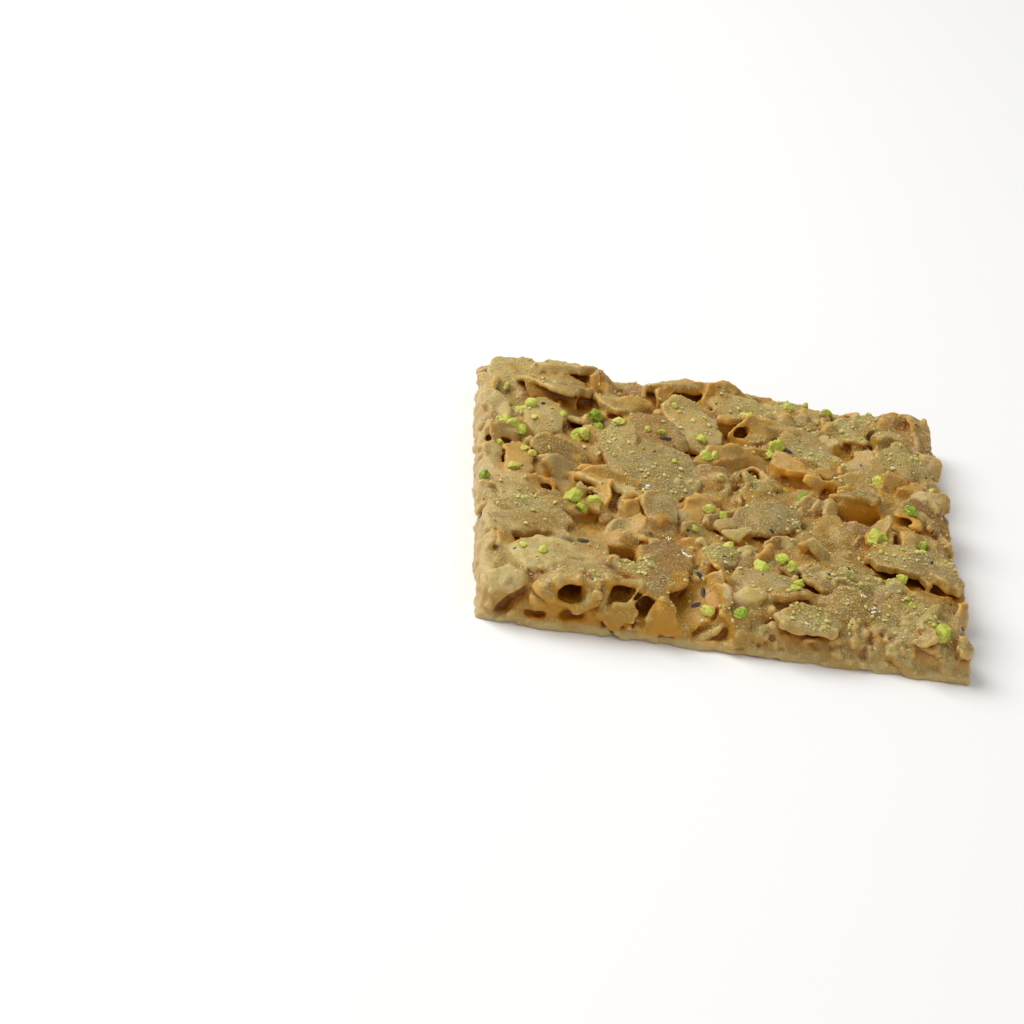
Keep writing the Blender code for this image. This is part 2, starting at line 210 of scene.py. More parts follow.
def front_bits(count):
    """Broken ends of flakes in the front side, most of them on the right, where the side leans back."""
    draw = np.random.default_rng(SEED + 4)
    looks = ("side", "toffee", "dusty", "pale", "cream")
    left = ((-37, 0), (0.6, 2.6), (-37.3, -36.2), (1.6, 3.4), (0.5, 0.9), (-140, -40), (15, 85), (0, 180))
    right = ((2, 37), (0.8, 5.2), (-37.4, -36.8), (2.0, 5.0), (0.5, 0.9), (-140, -40), (25, 65), (0, 180))
    rows = []
    for k in range(count):
        x, z, y, length, narrow, faces, lean, turn = draws(draw, *(right if k % 3 else left))
        if k % 3:
            y += 0.55 * z * min(1, (x - 2) / 10)
        look, thick = looks[draw.integers(len(looks))], draw.uniform(0.6, 1.0)
        rows.append((x, y, z, length, length * narrow, faces, lean, turn, 0.3, look, thick))
    return rows


def side_bits(count):
    """Broken ends of flakes in the left, right and back sides."""
    draw = np.random.default_rng(SEED + 5)
    looks = ("side", "toffee", "dusty", "tan", "amber")
    spans = ((-36.5, 36.5), (35.8, 37.2), (2.2, 6.5), (0.8, 5.8), (0.5, 0.9), (-50, 50), (15, 85), (0, 180))
    rows = []
    for k in range(count):
        faces = OTHER_SIDES[k % 3]
        along, out, length, z, narrow, off, lean, turn = draws(draw, *spans)
        look, thick = looks[draw.integers(len(looks))], draw.uniform(0.6, 1.1)
        x, y = at_side(faces, out, along)
        rows.append((x, y, z, length, length * narrow, faces + off, lean, turn, 0.3, look, thick))
    return rows


# %% All flakes
flakes = list(FLAKES) + fill_flakes() + side_flakes()
flakes += crumb_flakes(CRUMB_FLAKES) + front_bits(FRONT_BITS) + side_bits(SIDE_BITS)
print("flakes in all:", len(flakes))

# %% [markdown]
# ## Toffee as a distance field
#
# Hot toffee wets every flake and runs into the corners, so no two things in a brittle meet at a sharp
# angle. A Boolean union would leave sharp seams. A distance field gives the right shape instead: a
# grid of points that each hold the distance to the nearest surface, where a "smooth minimum" of two
# distances blends two shapes with a fillet, as toffee does.

# %% The grid
STEP = 0.27
MARGIN = 1.4
grid_low = low - MARGIN
cells = np.ceil((SIDE + 2 * MARGIN + (0, 0, 1.0)) / STEP).astype(int)
axis_x, axis_y, axis_z = (grid_low[i] + STEP * np.arange(cells[i]) for i in range(3))
print("grid:", cells, "points", cells.prod())


def smooth_join(a, b, fillet):
    """Distance to two shapes joined with a fillet."""
    share = np.clip(0.5 + 0.5 * (b - a) / fillet, 0.0, 1.0)
    return b + (a - b) * share - fillet * share * (1 - share)


def smooth_carve(a, b, fillet):
    """Distance to shape a with shape b taken out of it."""
    return -smooth_join(-a, b, fillet)


def lattice(part):
    """The eight grid points round a place, each with its weight there."""
    for corner in itertools.product((0, 1), repeat=3):
        sides = [part[:, axis] if step else 1 - part[:, axis] for axis, step in enumerate(corner)]
        yield corner, np.prod(sides, axis=0)


def noise(points, size, seed):
    """Smooth random values from -1 to 1 that change over about that size, at an array of points."""
    table = np.random.default_rng(seed).uniform(-1, 1, (32, 32, 32)).astype(np.float32)
    place = points / size
    base = np.floor(place).astype(int)
    part = place - base
    part = part * part * (3 - 2 * part)
    total = 0.0
    for corner, weight in lattice(part):
        i, j, k = ((base + corner) % 32).T
        total = total + weight * table[i, j, k]
    return total


# %% The toffee body and the skin under it
SKIN_HEIGHT = 0.8
SKIN_LIP = 0.25
FRONT_SLOPE = 0.9
RIGHT_SLOPE = 3.2
SIDE_SLOPE = 0.5
EDGE_WOBBLE = 0.5


def wobble(along, phase):
    """How far a cut edge strays outwards at a place along it."""
    return EDGE_WOBBLE * (np.sin(0.29 * along + phase) + 0.6 * np.sin(0.83 * along + 2.1 * phase))


def edge_distance(x, y, side_inset, front_inset):
    """Distance outside the wavy square of the slab's plan, drawn in by an inset at each side."""
    left = -x - SIDE[0] / 2 - wobble(y, 0.4)
    right = x - SIDE[0] / 2 - wobble(y, 6.3)
    front = -y - SIDE[1] / 2 - wobble(x, 2.7)
    back = y - SIDE[1] / 2 - wobble(x, 3.6)
    across = np.maximum(left, right) + side_inset + EDGE_WOBBLE
    along = np.maximum(front + front_inset, back + side_inset) + EDGE_WOBBLE
    outside = np.hypot(np.maximum(across, 0), np.maximum(along, 0))
    return outside + np.minimum(np.maximum(across, along), 0)


plan_x, plan_y = np.meshgrid(axis_x, axis_y, indexing="ij")
plan = np.stack((plan_x, plan_y, 0 * plan_x), axis=-1).reshape(-1, 3)
plan_lumps = 0.7 * noise(plan, 4.2, 21) + 0.35 * noise(plan, 1.9, 22)
plan_top = swell(plan_x, plan_y) + 0.1 + plan_lumps.reshape(plan_x.shape)
MOUND = (-18.0, -30.5, 8.0, 8.5, 2.2)  # x, y, width, depth and height of a rise of the toffee
mound_x, mound_y, mound_wide, mound_deep, mound_high = MOUND
away = ((plan_x - mound_x) / mound_wide) ** 2 + ((plan_y - mound_y) / mound_deep) ** 2
plan_top += mound_high * np.exp(-(away ** 2))
plan_skin = edge_distance(plan_x, plan_y, 0.0, 0.0)
height = axis_z[None, None, :]
rise = np.clip(height / TOFFEE_HEIGHT, 0.0, 1.4)
front_slope = FRONT_SLOPE + RIGHT_SLOPE * np.clip((plan_x - 3) / 12, 0, 1)
wall = edge_distance(
    plan_x[:, :, None], plan_y[:, :, None], 0.3 + SIDE_SLOPE * rise,
    SKIN_LIP + front_slope[:, :, None] * rise ** 1.3,
)
body = smooth_carve(0.85 * (height - plan_top[:, :, None]), -wall, 0.8)
skin = np.maximum(height - SKIN_HEIGHT, plan_skin[:, :, None])
field = smooth_join(body, skin, 0.5).astype(np.float32)
del body, skin, wall
print("inside the toffee body:", (field < 0).sum(), "points")

# %% One flake's distance
THICKNESS = 0.95
BREAK_SEED = 900
TAPER = 0.28
SIDE_CURL = 0.35
EDGE_ROUND = 0.24
MOST_BREAKS = 4


def turned(faces, lean, turn):
    """The flake's own axes: along it, across it and out of its face."""
    return np.array(
        Matrix.Rotation(math.radians(faces), 3, "Z")
        @ Matrix.Rotation(math.radians(lean), 3, "Y")
        @ Matrix.Rotation(math.radians(turn), 3, "Z")
    )


def plate(outside, up, thick):
    """Distance to a plate with soft edges, from the distances outside its rim and above its middle."""
    a = outside + EDGE_ROUND
    b = np.abs(up) - 0.5 * thick + EDGE_ROUND
    rounded = np.hypot(np.maximum(a, 0), np.maximum(b, 0))
    return rounded - EDGE_ROUND + np.minimum(np.maximum(a, b), 0)


def ragged(along, across, number):
    """How far a rim strays: waves of about 3 and 1.3 mm."""
    wide = 0.18 * np.sin(1.7 * along + number) * np.cos(1.3 * across - number)
    return wide + 0.09 * np.sin(4.3 * along + 2 * number) * np.cos(3.7 * across + number)


def flake_distance(row, number, points):
    """Distance of points to a flake: a thin, curled, uneven plate with soft edges."""
    x, y, z, length, width, faces, lean, turn, curl = row[:9]
    local = (points - (x, y, z)) @ turned(faces, lean, turn)
    half_length, half_width = length / 2, width / 2
    u = local[..., 0] / half_length
    v = local[..., 1] / (half_width * np.maximum(1 - TAPER * u, 0.3))
    reach = np.hypot(u, v) + 1e-6
    angle = np.arctan2(v, u)
    uneven = 1 + 0.05 * np.sin(3 * angle + number) + 0.03 * np.sin(7 * angle + 2.3 * number)
    flat = np.hypot(local[..., 0], local[..., 1])
    outside = flat * (1 - uneven / reach)
    draw = np.random.default_rng(BREAK_SEED + number)
    for _ in range(draw.integers(0, MOST_BREAKS)):
        angle = draw.uniform(0, 2 * math.pi)
        along, across = math.cos(angle), math.sin(angle)
        kept = math.hypot(half_length * along, half_width * across) * draw.uniform(0.5, 0.85)
        outside = np.maximum(outside, local[..., 0] * along + local[..., 1] * across - kept)
    outside = outside + ragged(local[..., 0], local[..., 1], number)
    ripple = 0.22 * np.sin(0.7 * local[..., 0] + number) * np.cos(0.6 * local[..., 1] + 2 * number)
    up = local[..., 2] + curl * (u * u + SIDE_CURL * v * v) + ripple
    thick = row[10] if len(row) > 10 else THICKNESS * (0.7 + 0.3 * min(1.0, length / 10))
    return plate(outside, up, thick)


# %% Adding a shape to the field
def window(centre, radius):
    """Slices of the grid within radius of a place."""
    first = np.clip(((centre - radius - grid_low) / STEP).astype(int), 0, cells)
    last = np.clip(((centre + radius - grid_low) / STEP).astype(int) + 2, 0, cells)
    return tuple(slice(a, b) for a, b in zip(first, last))


def blend_in(centre, radius, distance, fillet, operation=smooth_join):
    """Joins a shape to the field, or carves it out, within radius of its centre."""
    part = window(np.array(centre), radius)
    axes = (axis[span] for axis, span in zip((axis_x, axis_y, axis_z), part))
    near = distance(np.stack(np.meshgrid(*axes, indexing="ij"), axis=-1)).astype(np.float32)
    field[part] = operation(field[part], near, fillet)


# %% [markdown]
# ## Broken flakes
#
# The largest flakes on top show their whole outline, and it is a broken one, with corners. Each of
# these is a plate with a polygon for its rim: the corners are given round the rim, and the plate takes
# the plane that fits them best.

# %% Flakes with a given rim
# How it looks, how thick and how domed it is, and the corners of its upper face: x, y, z of each.
TONGUE = (
    "toffee", 1.1, 0.5, ((-13.9, -22.7, 8.4), (-9.6, -19.6, 8.6), (-5.2, -21.3, 8.4), (-5.9, -26.1, 8.0),
        (-6.6, -30.8, 7.4), (-8.8, -32.9, 7.0), (-10.7, -35.6, 6.8), (-12.8, -33.2, 7.3),
        (-13.8, -29.5, 7.8)),
)
BROKEN = (
    ("cream", 1.0, 0.5, ((-33.5, -26.5, 8.2), (-29, -23.5, 8.4), (-25, -24, 8.2), (-20.5, -27.5, 7.9),
        (-24.5, -32, 7.6), (-31, -32.5, 7.5), (-33, -29.5, 7.8))),
    TONGUE,
    ("green", 0.9, 0.6, ((1.8, -8.7, 7.8), (3, -5.4, 8.2), (6.5, -3.4, 8.3), (10.5, -2.4, 8.2),
        (13.2, -3.4, 7.9), (12.6, -7.6, 7.5), (8.4, -11, 7.3), (3.6, -11.6, 7.3))),
    ("green", 1.2, 1.2, ((-18.5, 10.7, 7.9), (-15.5, 14, 8.4), (-9.8, 13.6, 8.6), (-4.2, 9.8, 8.4),
        (-2.2, 4.6, 7.9), (-3.6, -1, 7.5), (-8.3, -5.2, 7.4), (-12.8, -4, 7.8), (-17, 2, 7.9))),
    ("pink", 1.0, 0.8, ((-14, 20.5, 8.5), (-11.3, 23.5, 8.7), (-8.3, 21.8, 8.8), (-5.5, 17.4, 8.6),
        (-4, 13.3, 8.2), (-7, 11.6, 8.0), (-11.3, 12.5, 8.1), (-13.7, 15, 8.2))),
    ("tan", 1.1, 0.9, ((-9.3, 25.6, 8.4), (-4.7, 27.7, 8.6), (-1.3, 25.6, 8.6), (1.3, 21.7, 8.3),
        (1.7, 17.8, 7.8), (-1.3, 14.2, 7.6), (-3.9, 14.6, 8.0), (-6.9, 21.6, 8.4))),
    ("tan", 1.2, 0.7, ((-30, 22, 8.0), (-27.3, 24, 8.2), (-24.8, 22.6, 8.1), (-24, 19, 7.7),
        (-25, 14.8, 7.2), (-28.5, 12.8, 7.1), (-30.8, 16, 7.4))),
    ("amber", 1.0, 0.8, ((-34, 6.8, 8.0), (-31.6, 8.7, 8.1), (-29.8, 5, 7.9), (-29.6, -0.6, 7.4),
        (-31.6, -3.6, 7.1), (-33.8, -2.8, 7.1))),
    ("tan", 1.5, 0.3, ((-37, -17.4, 7.6), (-32, -15, 7.9), (-25.4, -13.8, 7.9), (-23.6, -16, 7.6),
        (-24.7, -18.6, 7.1), (-30.3, -20.4, 6.9), (-36.8, -20.6, 6.9))),
    ("tan", 1.3, 0.2, ((-36.6, -13.4, 7.9), (-30, -10.6, 8.1), (-19.4, -10, 8.0), (-19.0, -12.6, 7.7),
        (-26, -13.4, 7.6), (-35.5, -15.4, 7.5))),
    ("dusty", 1.4, 0.9, ((22.6, -13.4, 7.7), (25.7, -10.7, 8.2), (29, -11.5, 8.4), (32.3, -13.6, 8.2),
        (35.2, -18, 7.5), (36.6, -23, 6.8), (33, -20.6, 7.4), (28.3, -18, 7.8), (24.6, -16.4, 7.5))),
    ("tan", 1.2, 0.9, ((26.2, 26, 7.4), (29.4, 31, 7.0), (33.8, 33.0, 6.5), (36.2, 31.3, 6.2),
        (34.9, 25.2, 6.5), (31.2, 20.6, 6.6), (27.8, 20.2, 6.9))),
    ("pale", 1.0, 0.5, ((7.2, -35.6, 7.4), (9.7, -33.2, 7.7), (15.4, -33, 7.4), (17.6, -35.4, 6.7),
        (16.2, -37.4, 5.6), (11.5, -37.8, 5.4), (8.2, -37.4, 5.9))),
    ("green", 1.0, 0.4, ((-4, -20.7, 7.9), (-1.6, -18.8, 8.1), (2, -19.3, 8.0), (2.2, -22.4, 7.6),
        (-1, -24.6, 7.3), (-3.8, -24, 7.5))),
    ("tan", 1.4, 0.4, ((0.4, -27.6, 7.8), (4.3, -30, 7.6), (11.1, -28.8, 7.6), (11.3, -25.8, 7.9),
        (5, -25, 8.1), (1.6, -25, 8.0))),
    ("skin", 0.9, 0.3, ((11.8, -20.4, 7.5), (15, -21, 7.5), (19.6, -23, 7.2), (19.2, -26, 7.0),
        (14.8, -26.4, 7.0), (12, -24, 7.3))),
)
WALL = (
    ("cream", 0.9, 0.2, ((-37.3, -35, 7.3), (-33.8, -34, 8.2), (-31.6, -34.8, 7.6), (-31.9, -37, 6.5),
        (-33.7, -37.6, 5.6), (-36.5, -37.6, 5.4))),
    ("cream", 0.7, 0.3, ((-21.9, -36.4, 8.2), (-20.4, -36.6, 8.0), (-19.9, -37.4, 5.6), (-22.4, -37.7, 3.6),
        (-23.8, -37.7, 3.6), (-21.8, -37.1, 5.6))),
    ("pale", 0.8, 0.3, ((-19, -37.8, 4.4), (-17.4, -37.2, 5.6), (-14.8, -37.2, 6.0), (-13.8, -37.5, 5.0),
        (-14.4, -37.9, 3.3), (-17.7, -37.9, 2.6))),
    ("amber", 1.2, 0.2, ((-30.2, 28.4, 8.5), (-25, 27.2, 8.6), (-21.6, 26.2, 8.1), (-21.8, 25.2, 6.3),
        (-29.6, 27.0, 6.5))),
    ("honey", 0.9, 0.3, ((-11.3, -36.8, 6.8), (-9.4, -36.8, 6.9), (-6.8, -37.8, 3.2), (-12.4, -37.8, 3.1))),
    ("cream", 0.8, -0.4, ((-0.1, -30.0, 6.2), (1.1, -31.1, 6.4), (2.1, -33.5, 5.8), (1.0, -34.7, 4.7),
        (-1.0, -36.2, 3.1), (-3.3, -37.0, 1.5), (-6.8, -37.1, -0.4), (-6.6, -36.6, -0.0),
        (-4.0, -35.4, 1.8), (-2.1, -33.6, 3.6), (-0.8, -31.6, 5.1))),
    ("honey", 0.8, -0.7, ((-0.7, -27.4, 8.2), (-0.5, -29.9, 7.3), (-1.2, -32.7, 5.7), (-2.7, -35.1, 3.8),
        (-5.1, -36.3, 2.1), (-7.1, -37.0, 0.8), (-8.2, -32.6, 2.1), (-7.9, -30.3, 3.3),
        (-6.2, -29.0, 4.7), (-3.6, -27.7, 6.6))),
    # The tongue hangs over the hollow of the fan, so it is joined again after the hollows.
    TONGUE,
)

# %% A broken flake's distance
TOP = 0.25


def rim_distance(x, y, rim):
    """Distance outside a polygon, negative inside."""
    nearest = np.full(x.shape, np.inf)
    odd = np.zeros(x.shape, dtype=bool)
    for (x1, y1), (x2, y2) in zip(rim, np.roll(rim, -1, axis=0)):
        along, across = x2 - x1, y2 - y1
        share = np.clip(((x - x1) * along + (y - y1) * across) / (along ** 2 + across ** 2), 0, 1)
        nearest = np.minimum(nearest, np.hypot(x - x1 - share * along, y - y1 - share * across))
        spans = (y1 > y) != (y2 > y)
        odd ^= spans & (x < x1 + (y - y1) * along / (across if across else 1e-9))
    return np.where(odd, -nearest, nearest)


def broken_distance(row, number, points):
    """Distance of points to a broken flake, which domes up or, below 0, curls up at its rim."""
    _, thick, dome, corners = row
    corners = np.array(corners, dtype=float)
    middle = corners.mean(axis=0)
    axes = np.linalg.svd(corners - middle)[2]
    if axes[2, 2] < 0:
        axes[2] *= -1
    local = (points - middle) @ axes.T
    rim = ((corners - middle) @ axes.T)[:, :2]
    outside = rim_distance(local[..., 0], local[..., 1], rim) - 0.15
    outside = outside + ragged(local[..., 0], local[..., 1], number)
    reach = np.hypot(rim[:, 0], rim[:, 1]).mean()
    ripple = 0.18 * np.sin(0.8 * local[..., 0] + number) * np.cos(0.7 * local[..., 1] + 2 * number)
    bulge = dome * ((local[..., 0] ** 2 + local[..., 1] ** 2) / reach ** 2 - 0.4)
    return plate(outside, local[..., 2] + 0.5 * thick - TOP + bulge + ripple, thick)


def broken_span(row):
    """The middle of a broken flake and how far it reaches."""
    corners = np.array(row[3], dtype=float)
    middle = corners.mean(axis=0)
    return middle, np.abs(corners - middle).max() + 1.5


# %% Add every flake
FILLETS = (0.35, 1.1)
FILLET_SEED = 500
WALL_FILLET, BIT_FILLET = 0.22, 0.45
WALL_FROM = -35.8
SUNK = 2.2
SUNK_LEAN = 10
WELL_UNDER = 0.9


def under_broken(x, y):
    """Whether a place lies under one of the broken flakes, or close to its rim."""
    rims = (np.array(row[3])[:, :2] for row in BROKEN)
    return any(rim_distance(np.array(x), np.array(y), rim) < WELL_UNDER for rim in rims)


# Small flakes would poke through the broken ones, so those that lie under them are sunk.
for number, row in enumerate(flakes[len(FLAKES) :], len(FLAKES)):
    if under_broken(*row[:2]) and row[1] > WALL_FROM:
        flakes[number] = (*row[:2], row[2] - SUNK, *row[3:6], SUNK_LEAN, *row[7:])
for number, row in enumerate(flakes):
    fillet = np.random.default_rng(FILLET_SEED + number).uniform(*FILLETS)
    if row[1] < WALL_FROM:
        fillet = BIT_FILLET if len(row) > 10 else WALL_FILLET
    blend_in(row[:3], row[3] / 2 + 1.6, lambda points: flake_distance(row, number, points), fillet)
print("flakes joined")

# %% Add the broken flakes
BROKEN_FILLET = 0.5
for number, row in enumerate(BROKEN):
    blend_in(*broken_span(row), lambda points: broken_distance(row, number, points), BROKEN_FILLET)
print("broken flakes:", len(BROKEN), "and in the front side:", len(WALL))

# %% [markdown]
# ## Hollows and strings of toffee
#
# Where flakes bridge a gap, air stays under them. The biggest of these hollows open at the front
# side, with thin strings and webs of toffee between them. Each hollow is an ellipsoid that is carved
# out with a small fillet; each string is a thin, pinched rod joined back on.

# %% Carve the hollows
# x, y, z of the middle, half the width, depth and height, the turn about Z and the tilt about Y.
HOLLOWS = (
    (-24.4, -36.4, 6.1, 2.0, 5.0, 1.55, 0, 0),
    (-16.4, -37.0, 6.4, 2.0, 6.0, 1.7, 0, 0),
    (-13.2, -36.4, 5.0, 1.7, 4.0, 1.9, 0, 20),
    (-10.6, -36.6, 5.6, 0.9, 3.0, 0.9, 0, 0),
    (-5.2, -33.4, 6.0, 3.9, 4.8, 2.9, 0, 0),
    (-2.4, -38.0, 3.5, 3.2, 2.6, 2.2, 0, 0),
    (-32.8, -37.4, 3.6, 3.5, 2.4, 0.85, 0, -47),
    (-23.4, -37.8, 2.7, 1.9, 1.6, 0.75, 0, -6),
    (-29.1, -37.9, 2.2, 1.7, 1.5, 0.55, 0, 0),
    (-13.4, -38.0, 3.2, 1.4, 1.4, 0.9, 0, -30),
    (9.0, -32.4, 6.7, 1.9, 1.8, 0.9, 10, 0),
    (-4.7, -21.5, 6.8, 1.1, 3.8, 1.6, -8, 0),
    (-21.4, -13.2, 6.7, 2.4, 2.2, 1.2, 0, 0),
    (-20.9, -2.4, 6.7, 1.7, 1.7, 1.2, -20, 0),
    (-27.6, -5.2, 6.4, 0.9, 1.0, 0.8, 0, 0),
    (-34.6, 11.2, 5.9, 2.0, 1.6, 0.9, 0, 0),
    (-22.9, 26.8, 6.7, 3.1, 1.3, 1.2, -12, 0),
    (-19.7, 31.8, 7.8, 1.6, 2.4, 1.9, 15, 0),
    (-15.8, 22.6, 6.6, 1.3, 1.1, 0.7, -35, 0),
    (-9.9, 30.2, 7.0, 1.3, 3.4, 2.0, 15, 0),
    (-3.4, 34.6, 6.6, 3.0, 2.0, 1.2, 12, 0),
    (1.8, 35.0, 6.4, 1.3, 2.0, 1.4, 0, 0),
    (4.0, 23.4, 6.8, 2.0, 2.8, 1.8, 10, 0),
    (10.0, 21.8, 6.0, 3.0, 1.2, 0.6, -20, 0),
    (-1.0, 8.0, 6.7, 1.3, 1.7, 1.0, 30, 0),
    (5.4, 8.4, 6.7, 1.9, 1.3, 0.9, 25, 0),
    (13.5, 9.4, 6.7, 2.9, 1.7, 1.0, -25, 0),
    (18.4, 4.4, 6.5, 1.4, 2.4, 1.8, 0, 0),
    (23.0, 12.4, 7.0, 0.7, 3.8, 1.5, 42, 0),
    (22.1, 19.6, 6.9, 1.7, 1.8, 1.1, 30, 0),
    (26.4, 24.4, 7.2, 0.9, 3.0, 1.4, -10, 0),
    (30.5, 0.0, 6.7, 1.5, 1.3, 0.8, -20, 0),
    (28.2, -7.8, 6.8, 0.5, 3.2, 1.1, 0, 0),
    (33.6, -19.0, 6.1, 2.8, 1.5, 1.0, -48, 0),
    (19.2, -38.0, 4.8, 0.9, 1.4, 1.0, 0, 0),
)

# Two that are boxy, between flakes that stand on edge.
PITS = (
    (-16.1, -24.2, 6.4, 2.3, 2.9, 3.0, 0, 0),
    (23.0, -0.8, 6.8, 3.5, 2.3, 2.7, 6, 0),
)
ROUND, BOXY = 3, 8
HOLLOW_FILLET = 0.5


def ellipsoid_distance(points, centre, half, turn, tilt, power=2):
    """Distance to an ellipsoid; a higher power makes it boxier."""
    local = (points - centre) @ np.array(
        Matrix.Rotation(math.radians(turn), 3, "Z") @ Matrix.Rotation(math.radians(tilt), 3, "Y")
    )
    reach = (np.abs(local / half) ** power).sum(axis=-1) ** (1 / power)
    return (reach - 1) * min(half)


hollows = [(row, ROUND) for row in HOLLOWS] + [(row, BOXY) for row in PITS]
for row, power in hollows:
    shape = np.array(row[:3]), np.array(row[3:6]), *row[6:], power
    reach = max(row[3:6]) + 1.5
    blend_in(row[:3], reach, lambda points: ellipsoid_distance(points, *shape), HOLLOW_FILLET, smooth_carve)
print("hollows carved:", len(hollows))

# %% [markdown]
# ## Ridges
#
# Many flakes stand with one long edge up and fall away to the back, so that they make ridges: a dusty
# slope behind, a thick rim of clear toffee in front, and often air under the rim. They are joined on
# after the hollows, which would otherwise eat them.

# %% Flakes that stand as ridges
# The rim from x, y, z to x, y, z, how far the flake runs back from it, how steeply it falls, how thick
# it is with its toffee, and how it looks.
RIDGES = (
    (-31.0, 28.8, 8.9, -19.8, 26.2, 8.5, 6.5, 18, 1.7, "tan"),
    (-20.4, 26.6, 8.3, -14.6, 22.4, 7.4, 4.5, 8, 1.1, "tan"),
    (-28.5, 32.6, 9.0, -18.6, 34.0, 9.1, 4.0, 22, 1.6, "cream"),
    (-37.0, 10.8, 7.6, -32.0, 10.0, 7.4, 4.5, 15, 1.7, "cream"),
    (-36.0, -17.6, 7.2, -24.6, -16.8, 7.5, 4.0, 16, 1.5, "tan"),
    (-22.8, -2.2, 8.1, -11.0, -7.4, 7.9, 3.0, 14, 1.1, "cream"),
    (-9.6, 32.6, 8.0, -0.4, 34.2, 8.5, 4.0, 16, 1.7, "tan"),
    (-1.0, 34.4, 8.5, 5.4, 34.2, 7.8, 3.5, 16, 1.6, "amber"),
    (1.4, 22.2, 8.3, 5.6, 24.6, 8.8, 2.5, 10, 1.2, "amber"),
    (4.2, 24.4, 8.7, 14.2, 20.6, 7.9, 4.0, 14, 2.0, "tan"),
    (-2.6, 6.8, 8.1, 5.2, 10.8, 8.1, 3.5, 10, 1.3, "amber"),
    (8.6, 10.6, 8.3, 16.8, 7.0, 7.8, 3.5, 14, 1.3, "amber"),
    (-6.4, -6.8, 8.3, 0.4, -5.4, 8.2, 3.0, 14, 1.5, "amber"),
    (18.6, 1.2, 8.6, 27.2, 2.0, 8.6, 3.0, 10, 1.3, "tan"),
    (19.6, 13.0, 8.0, 24.6, 8.2, 7.7, 3.5, 15, 1.0, "tan"),
    (22.8, -12.8, 8.0, 29.8, -15.4, 8.2, 4.0, 15, 1.4, "amber"),
    (29.2, -15.0, 8.2, 36.6, -23.4, 7.0, 5.0, 14, 1.5, "green"),
    (7.2, -32.4, 7.9, 12.8, -31.2, 7.9, 3.5, 10, 1.3, "tan"),
    (29.6, 6.4, 8.0, 33.8, 6.8, 8.0, 3.4, 10, 2.4, "amber"),
    (27.2, 23.4, 8.2, 31.2, 23.0, 8.2, 5.0, 12, 2.0, "dusty"),
    (-18.4, 35.2, 8.9, -15.4, 28.0, 7.9, 4.5, -45, 1.6, "amber"),
)


def ridge_flake(row):
    """A ridge written as a flake: x, y, z of its middle and so on."""
    first, last = np.array(row[:3]), np.array(row[3:6])
    back, fall, thick, look = row[6:]
    along = last - first
    heading = math.atan2(along[1], along[0]) + math.pi / 2
    tilt = math.radians(abs(fall))
    if fall < 0:
        heading += math.pi
    level = math.cos(tilt)
    down = np.array((math.cos(heading) * level, math.sin(heading) * level, -math.sin(tilt)))
    x, y, z = (first + last) / 2 + down * back / 2
    lean = 90 - abs(fall) if fall < 0 else fall
    return (x, y, z, np.linalg.norm(along) + 1.0, back, math.degrees(heading), lean, 90, 0.25, look, thick)


# Toffee fills the space under a ridge that isn't steep: its heart, an ellipsoid.
STEEP = 40
HEART_DEPTH = 1.9
RIDGE_FILLET, HEART_FILLET = 0.45, 0.9
ridges = [ridge_flake(row) for row in RIDGES]
for number, row in enumerate(ridges, len(flakes)):
    reach = row[3] / 2 + 1.8
    blend_in(row[:3], reach, lambda points: flake_distance(row, number, points), RIDGE_FILLET)
    heading, length, back = math.radians(row[5]), row[3], row[4]
    off = 0.12 * back
    heart = np.array(row[:3]) + (off * math.cos(heading), off * math.sin(heading), -HEART_DEPTH)
    if row[6] < STEEP:
        shape = heart, np.array((0.45 * length, 0.42 * back, 2.2)), row[5] - 90, 0
        reach = length / 2 + 1.5
        blend_in(heart, reach, lambda points: ellipsoid_distance(points, *shape), HEART_FILLET)
flakes += ridges
print("ridges:", len(ridges))

# %% Flakes in the front side, over the hollows
OVER_FILLET = 0.35
for number, row in enumerate(WALL, len(BROKEN)):
    blend_in(*broken_span(row), lambda points: broken_distance(row, number, points), OVER_FILLET)
print("over the hollows:", len(WALL))

# %% Strings and webs of toffee
# From x, y, z to x, y, z, and the radius in the middle.
STRINGS = (
    (-14.0, -35.6, 8.2, -15.6, -37.2, 5.6, 0.22),
    (-12.6, -35.5, 7.6, -14.9, -37.1, 5.9, 0.2),
    (-10.4, -36.6, 7.0, -10.3, -37.1, 6.0, 0.35),
    (-18.9, -35.4, 8.4, -19.2, -37.3, 3.8, 0.5),
    (-18.9, -35.2, 8.5, -14.0, -35.0, 8.3, 0.42),
    (-27.2, -37.1, 5.2, -26.4, -36.6, 7.8, 0.42),
    (-26.4, -36.6, 7.8, -23.4, -36.1, 8.4, 0.4),
    (-23.4, -36.1, 8.4, -20.6, -36.3, 8.1, 0.4),
    (-27.2, -37.1, 5.2, -23.4, -37.4, 4.1, 0.42),
    (-28.8, -37.0, 4.6, -28.4, -36.8, 5.4, 0.8),
)


def string_distance(points, first, last, radius):
    """A rod that thickens towards both ends, as a string of toffee does."""
    axis = last - first
    share = np.clip(((points - first) @ axis) / (axis @ axis), 0, 1)
    away = np.linalg.norm(points - first - share[..., None] * axis, axis=-1)
    return away - radius * (1 + 1.1 * (2 * share - 1) ** 4)


STRING_FILLET = 0.5
for *ends, radius in STRINGS:
    first, last = np.array(ends).reshape(2, 3)
    shape = first, last, radius
    reach = np.linalg.norm(last - first) / 2 + 1.5
    blend_in((first + last) / 2, reach, lambda points: string_distance(points, *shape), STRING_FILLET)
print("strings:", len(STRINGS))

# %% Lumps of crumb set in the toffee
CRUMB_POWER = 4
CRUMB_FILLET = 0.15
